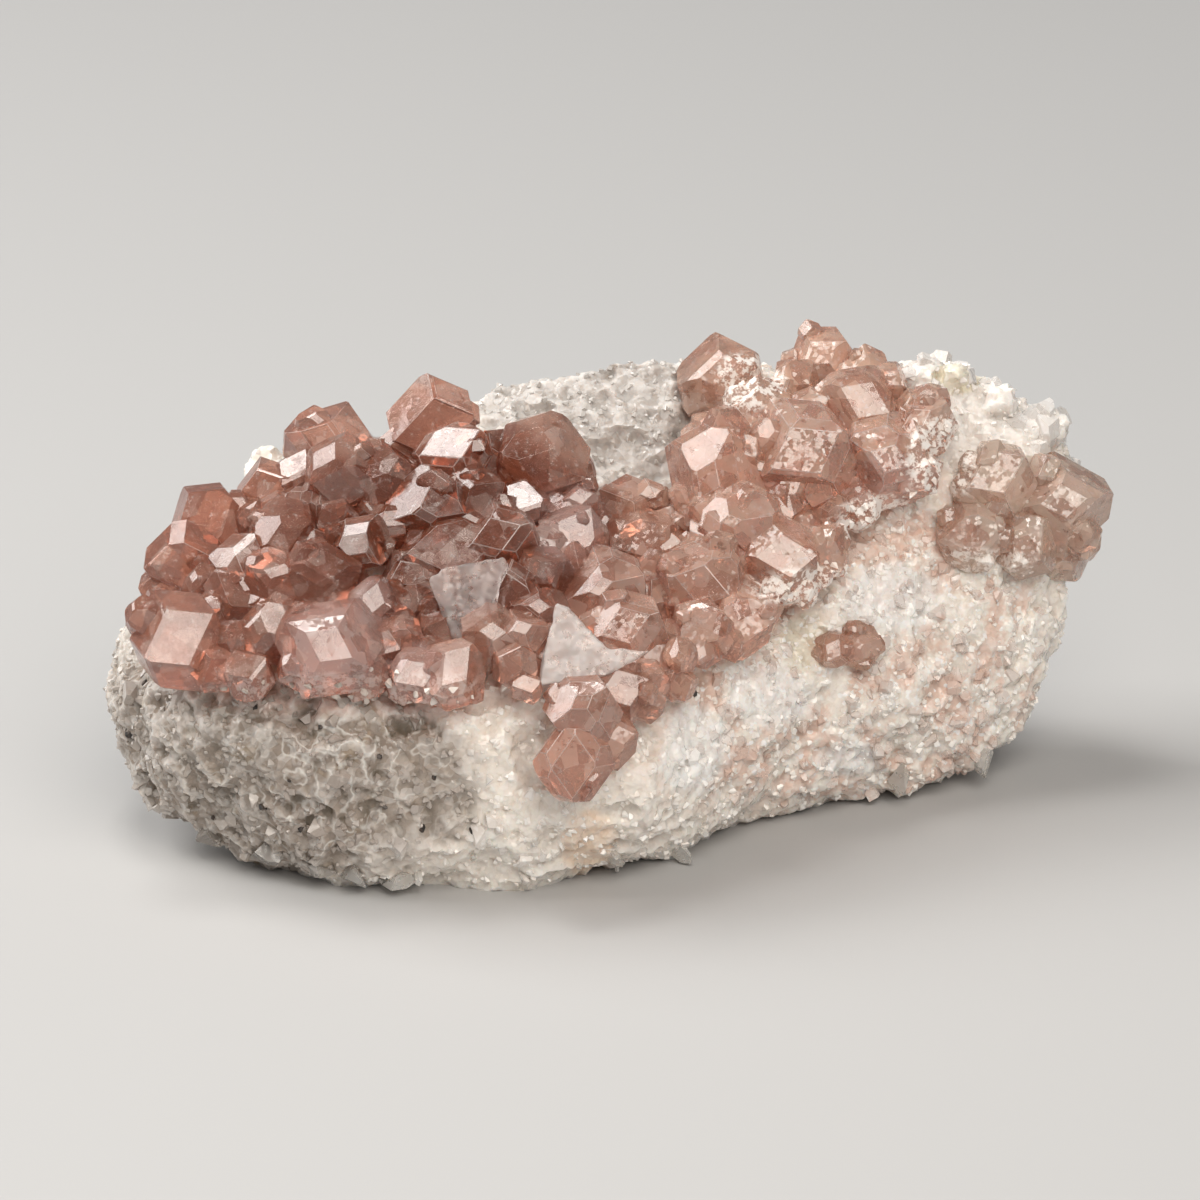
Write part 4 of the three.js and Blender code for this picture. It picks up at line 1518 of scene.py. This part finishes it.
@dataclass
class GrainCoat:
    """Many small grains that stand on the rock, joined into one piece.

    Attributes:
        name: the piece's name.
        habit: the grains' shape.
        count: how many places are tried.
        sizes: the smallest and largest grain, in millimetres.
        sink: the share of a grain that is in the rock.
        seed: names its random stream.
        patches: ovals as they are seen, each across, up, half width and half height. None means all over.
        kinds: how many different grains are copied.
        at: single places as they are seen, used instead of a scatter.
    """

    CUTS = 7  # how often a block is cut
    FARTHEST = 0.46  # a cut's distance from the middle of a block 1 metre wide
    NEAREST = {Habit.CHIP: 0.16, Habit.SUGAR: 0.36}
    WELD = 0.02  # within which its corners are one
    BASE = 0.3  # no grain is drawn within so many millimetres of the table
    CLEARANCE = 0.05  # millimetres between a grain's foot and a garnet
    THINNING = (0.4, 1.2)
    LEAN = 0.25

    name: str
    habit: Habit
    count: int
    sizes: tuple[float, float]
    sink: float
    seed: int
    patches: tuple[Oval, ...] = ()
    kinds: int = 6
    at: tuple[tuple[float, float], ...] = ()

    def pattern(self, number: int) -> tuple[np.ndarray, np.ndarray]:
        """Cuts one grain, 1 metre across, by hand as a crystal is cut.

        Args:
            number: which of the kinds.

        Returns:
            Its vertices and its triangles.
        """
        dice = Dice(self.seed * 31 + number)
        deselect()
        bpy.ops.mesh.primitive_cube_add(size=1.0)
        piece = bpy.context.object
        with editing(piece):
            for way, distance in self.cuts(dice):
                slice_off(way * distance, way, BISECT_REACH)
            bpy.ops.mesh.remove_doubles(threshold=self.WELD)
            bpy.ops.mesh.quads_convert_to_tris()
        mesh = piece.data
        places = np.array([vertex.co[:] for vertex in mesh.vertices])
        corners = np.array([face.vertices[:] for face in mesh.polygons if len(face.vertices) == 3])
        bpy.data.objects.remove(piece, do_unlink=True)
        bpy.data.meshes.remove(mesh)
        return places, corners

    def cuts(self, dice: Dice) -> Faces:
        """Works out where a grain's block is cut.

        Args:
            dice: its stream.

        Returns:
            The directions and distances.
        """
        if self.habit is Habit.POINT:
            turns = [math.radians(60 * side) for side in range(6)]
            sides = [(Vector((math.cos(t), math.sin(t), 0)), 0.2) for t in turns]
            ends = turns[dice.roll() > 0.5 :: 2]
            return sides + [(Vector((math.cos(t), math.sin(t), 0.75)).normalized(), 0.3) for t in ends]
        cuts = []
        for _ in range(self.CUTS):
            way = Vector([dice.roll() - 0.5 for _ in range(3)]).normalized()
            cuts.append((way, dice.between(self.NEAREST[self.habit], self.FARTHEST)))
        return cuts

    def build(self, rock: bpy.types.Object, clusters: Sequence[GarnetCluster]) -> bpy.types.Object:
        """Builds the coat.

        Args:
            rock: what it stands on.
            clusters: the garnets that it keeps clear of.

        Returns:
            The piece.
        """
        draw = np.random.default_rng(self.seed)
        spots, normals = self.single(rock) if self.at else self.scatter(rock, draw)
        keep = self.clear_of(spots, clusters)
        if self.patches:
            keep &= self.in_patches(spots, draw)
        spots, normals = spots[keep], normals[keep]
        shapes = [self.pattern(number) for number in range(self.kinds)]
        places, corners, tints = [], [], []
        start = 0
        for spot, normal in zip(spots, normals):
            vertices, triangles = shapes[draw.integers(self.kinds)]
            size = draw.uniform(*self.sizes) * MM
            turned = vertices @ self.turn(normal, draw).T * size
            stood = turned + spot + normal * size * (0.5 - self.sink)
            if stood[:, 2].min() < 0:
                continue
            places.append(stood)
            corners.append(triangles + start)
            tints.append(np.full(len(vertices), draw.uniform()))
            start += len(vertices)
        mesh = bpy.data.meshes.new(self.name)
        mesh.from_pydata(np.concatenate(places), [], np.concatenate(corners).tolist())
        store(mesh, "tint", np.concatenate(tints), "POINT")
        piece = bpy.data.objects.new(self.name, mesh)
        bpy.context.scene.collection.objects.link(piece)
        return piece

    def single(self, rock: bpy.types.Object) -> tuple[np.ndarray, np.ndarray]:
        """Finds the single places on the rock.

        Args:
            rock: the rock.

        Returns:
            The places and the directions towards the eye.
        """
        floor = Floor(rock)
        spots = np.array([floor.meet(place, Floor.STEP)[0] for place in self.at])
        return spots, np.tile(np.array(-SIGHT.away), (len(spots), 1))

    def scatter(self, rock: bpy.types.Object, draw: np.random.Generator) -> tuple[np.ndarray, np.ndarray]:
        """Draws places all over the rock.

        Args:
            rock: the rock.
            draw: the random stream.

        Returns:
            The places and the surface's directions there.
        """
        faces = rock.data.polygons
        areas, centres, normals = read(faces, "area"), read(faces, "center", 3), read(faces, "normal", 3)
        areas[centres[:, 2] < self.BASE * MM] = 0
        picked = draw.choice(len(faces), self.count, p=areas / areas.sum())
        return centres[picked], normals[picked]

    def clear_of(self, spots: np.ndarray, clusters: Sequence[GarnetCluster]) -> np.ndarray:
        """Marks the places that no garnet covers.

        Args:
            spots: the places.
            clusters: the garnets.

        Returns:
            True where a place is free.
        """
        free = np.ones(len(spots), dtype=bool)
        for cluster in clusters:
            for middle, faces in cluster.shapes:
                free &= beyond(spots, middle, faces).max(axis=1) > self.CLEARANCE * MM
        return free

    def in_patches(self, spots: np.ndarray, draw: np.random.Generator) -> np.ndarray:
        """Marks the places in the patches, thinning towards their edges.

        Args:
            spots: the places.
            draw: the random stream.

        Returns:
            True where a grain stands.
        """
        across, up = SIGHT.seen(spots)
        hit = np.zeros(len(spots), dtype=bool)
        for x, y, wide, high in self.patches:
            reach = ((across - x) / wide) ** 2 + ((up - y) / high) ** 2
            hit |= draw.uniform(*self.THINNING, len(spots)) > reach
        return hit

    def turn(self, normal: np.ndarray, draw: np.random.Generator) -> np.ndarray:
        """Turns a grain, points to stand up and the rest any way.

        Args:
            normal: the surface's direction.
            draw: the random stream.

        Returns:
            The turn as a matrix.
        """
        spin = Quaternion((0, 0, 1), draw.uniform(0, math.tau))
        if self.habit is Habit.POINT:
            way = Vector(normal) + Vector(draw.normal(0, self.LEAN, 3))
            return np.array((way.to_track_quat("Z", "Y") @ spin).to_matrix())
        free = Quaternion(Vector(draw.normal(0, 1, 3)).normalized(), draw.uniform(0, math.tau))
        return np.array(free.to_matrix())


SPECKS = (
    (-18.8, 8.4), (-19.5, 6.3), (-14.1, 7.5), (-11.4, 6.7), (-9, 5.5), (-12.7, 4.5), (-12.3, 2.5), (-16, 2.9),
    (-8.8, 3.4), (-7.3, 2.5), (-6.8, 4.6), (-13.8, 3.4), (-5.2, 2.4), (3.9, 8),
)
LOWER_POINTS = (
    (-13.8, 1.2), (-11.4, 0.7), (-8.3, 0.3), (-7.6, 0.4), (3.3, 1.2), (5.4, 1.9), (-10.2, 0.5), (-16.2, 2.2),
    (0.8, 0.6), (12.5, 4.4), (16.3, 5.2),
)
GREY_SIDE = ((-13.5, 5.0, 8.0, 6.0), (-1.0, 3.0, 6.0, 3.5))
PINK_SIDE = ((10.0, 10.0, 8.5, 7.5), (14.0, 5.5, 4.0, 3.5))
FOOT = ((-11.0, 0.8, 6.0, 1.2), (3.0, 1.6, 8.0, 1.4))
RIDGE_TOP = ((13.8, 21.0, 4.0, 1.5), (19.4, 18.0, 2.4, 2.6))
BED_RIM = (
    (6.2, 21.0, 1.5, 1.4), (8.2, 12.2, 1.7, 0.8), (10.0, 13.6, 1.4, 0.7), (11.6, 15.2, 1.6, 0.8),
    (13.6, 16.9, 1.4, 1.0), (15.2, 18.6, 1.5, 1.3), (-9.5, 8.3, 6.0, 0.7),
)
COATS = (
    GrainCoat("sugar_grains", Habit.SUGAR, 5300, (0.1, 0.28), 0.5, 3),
    GrainCoat("grey_flakes", Habit.CHIP, 1500, (0.3, 0.8), 0.75, 15, GREY_SIDE),
    GrainCoat("pink_grains", Habit.SUGAR, 2600, (0.2, 0.6), 0.6, 5, PINK_SIDE),
    GrainCoat("clear_points", Habit.POINT, 500, (0.4, 0.8), 0.25, 7, FOOT),
    GrainCoat("ridge_points", Habit.SUGAR, 1500, (0.4, 1.2), 0.6, 19, RIDGE_TOP),
    GrainCoat("lower_points", Habit.CHIP, 0, (0.9, 1.3), 0.3, 9, at=LOWER_POINTS),
    GrainCoat("dark_specks", Habit.SUGAR, 0, (0.12, 0.3), 0.4, 13, at=SPECKS),
)
CRUST = GrainCoat("white_crust", Habit.CHIP, 5000, (0.14, 0.4), 0.5, 17, BED_RIM)
COAT_FINISHES = {
    "sugar_grains": GrainFinish("white_grain", (0.90, 0.83, 0.76), (0.97, 0.94, 0.90), 0.0),
    "grey_flakes": GrainFinish("flake", (0.78, 0.71, 0.65), (0.93, 0.89, 0.85), 0.0),
    "pink_grains": GrainFinish("pink_grain", (0.84, 0.62, 0.52), (0.96, 0.87, 0.81), 0.3),
    "clear_points": GrainFinish("clear_point", (0.84, 0.80, 0.74), (0.96, 0.94, 0.91), 0.5),
    "ridge_points": GrainFinish("ridge_point", (0.88, 0.82, 0.76), (0.95, 0.92, 0.90), 0.2),
    "lower_points": GrainFinish("clear_rhomb", (0.84, 0.80, 0.74), (0.96, 0.94, 0.91), 0.6),
    "dark_specks": SpeckFinish("dark_speck"),
    "white_crust": GrainFinish("crust", (0.88, 0.74, 0.66), (0.96, 0.90, 0.84), 0.0),
}


@dataclass(frozen=True)
class Lamp:
    """One soft lamp that points at the stone.

    Attributes:
        name: its name.
        place: metres.
        size: its width in metres.
        power: watts.
        colour: its colour.
    """

    name: str
    place: tuple[float, float, float]
    size: float
    power: float
    colour: Colour

    def hang(self) -> None:
        """Adds the lamp to the scene."""
        light = bpy.data.lights.new(self.name, "AREA")
        light.energy = self.power
        light.size = self.size
        light.color = self.colour
        lamp = bpy.data.objects.new(self.name, light)
        lamp.location = self.place
        lamp.rotation_euler = (AIM - Vector(self.place)).to_track_quat("-Z", "Y").to_euler()
        bpy.context.scene.collection.objects.link(lamp)


AIM = Vector((0, 0, 0.01))  # metres, the middle of the stone
LAMPS = (
    Lamp("softbox", (-0.25, 0.04, 0.25), 0.26, 1.2, (1.0, 0.99, 0.97)),
    Lamp("bare_lamp", (-0.05, 0.01, 0.30), 0.08, 0.22, (1.0, 0.98, 0.95)),
    Lamp("front_fill", (0.08, -0.30, 0.29), 0.28, 1.3, (1.0, 0.95, 0.88)),
)


@dataclass
class Studio:
    """The pale floor, the soft light and the camera.

    Attributes:
        distance: millimetres from the camera to the stone.
        view: millimetres across the picture at that distance.
        middle: the middle of the picture, along the line of sight.
        sensor: the camera's width in millimetres.
        floor: the floor's width in metres.
        sky: the room's colour.
        glow: its strength.
    """

    distance: float = 400.0
    view: float = 50.0
    middle: tuple[float, float, float] = (0.0, 11.875, -4.0)
    sensor: float = 36.0
    floor: float = 4.0
    sky: Colour = (0.95, 0.97, 1.0)
    glow: float = 0.185

    def build(self) -> bpy.types.Object:
        """Sets up the floor, lights and camera.

        Returns:
            The floor.
        """
        deselect()
        bpy.ops.mesh.primitive_plane_add(size=self.floor)
        floor = bpy.context.object
        floor.name = "floor"
        floor.data.materials.append(PaperFinish("pale_paper").make())
        for lamp in LAMPS:
            lamp.hang()
        world = bpy.data.worlds.new("room")
        bpy.context.scene.world = world
        world.use_nodes = True
        room = world.node_tree.nodes["Background"]
        room.inputs["Color"].default_value = (*self.sky, 1.0)
        room.inputs["Strength"].default_value = self.glow
        self.camera()
        bpy.context.scene.view_settings.view_transform = "Standard"
        return floor

    def camera(self) -> None:
        """Sets up the camera on the line of sight."""
        lens = bpy.data.cameras.new("camera")
        lens.sensor_width = self.sensor
        lens.lens = self.sensor * self.distance / self.view
        lens.clip_start = 0.01
        camera = bpy.data.objects.new("camera", lens)
        across, up, depth = self.middle
        camera.location = SIGHT.place(across, up, depth - self.distance)
        camera.rotation_euler = SIGHT.away.to_track_quat("-Z", "Y").to_euler()
        bpy.context.scene.collection.objects.link(camera)
        bpy.context.scene.camera = camera


def dress(piece: bpy.types.Object, material: bpy.types.Material, slot: str, *nodes: str) -> None:
    """Gives a piece its material and its place in the frame.

    Args:
        piece: the object.
        material: its material.
        slot: a material slot's name; not used.
        nodes: the solids that it stands for.
    """
    piece.data.materials.clear()
    piece.data.materials.append(material)
    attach(piece, "root")
    if nodes:
        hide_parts(*nodes)
    LOG.info("%s: %d faces", piece.name, len(piece.data.polygons))


def main() -> None:
    """Builds the stone piece by piece, then the studio."""
    nodes = frame["nodes"]
    plain = copy_of(nodes["matrix"], "measured_rock")
    merge_doubles(plain)
    bare, bed_floor = Floor(plain), Floor(plain, SEAM + LAYER)
    bpy.data.objects.remove(plain, do_unlink=True)

    cutter = CrystalCutter()
    shield = Shield([nodes[plate.node] for plate in PLATES])
    garnet = GarnetFinish("pink_garnet").make()
    bed = GarnetCluster(
        "bed_crystals", "garnet_bed", (*BED_CRYSTALS, *FILL.draw()), 11, (*PLATE_CRYSTALS, *EXTRA.draw())
    )
    others = (
        GarnetCluster("back_crystal", "garnet_back", BACK_CRYSTALS, 3, sprouts=0),
        GarnetCluster("east_crystals", "garnet_east", EAST_CRYSTALS, 5),
        GarnetCluster("face_crystals", "garnet_face", FACE_CRYSTALS, 7),
    )
    crust_of_garnet = bed.build(bed_floor, cutter, shield)
    dress(crust_of_garnet, garnet, "garnet", bed.node)
    for cluster in others:
        dress(cluster.build(bare, cutter, shield), garnet, "garnet", cluster.node)

    for plate, clear in zip(PLATES, PLATE_CLARITY):
        finish = CalciteFinish(f"{plate.name}_calcite", clear)
        dress(plate.build(nodes), finish.make(), "calcite", plate.node)

    rock = RockMatrix().build(nodes)
    dress(rock, RockFinish("sugary_rock").make(), "rock", "matrix")
    for coat in COATS:
        slot = "garnet" if coat.name == "pink_grains" else "rock"
        dress(coat.build(rock, (bed, *others)), COAT_FINISHES[coat.name].make(), slot)
    dress(CRUST.build(crust_of_garnet, ()), COAT_FINISHES[CRUST.name].make(), "rock")

    Studio().build()


if __name__ == "__main__":
    logging.basicConfig(level=logging.INFO, format="%(name)s: %(message)s")
    main()
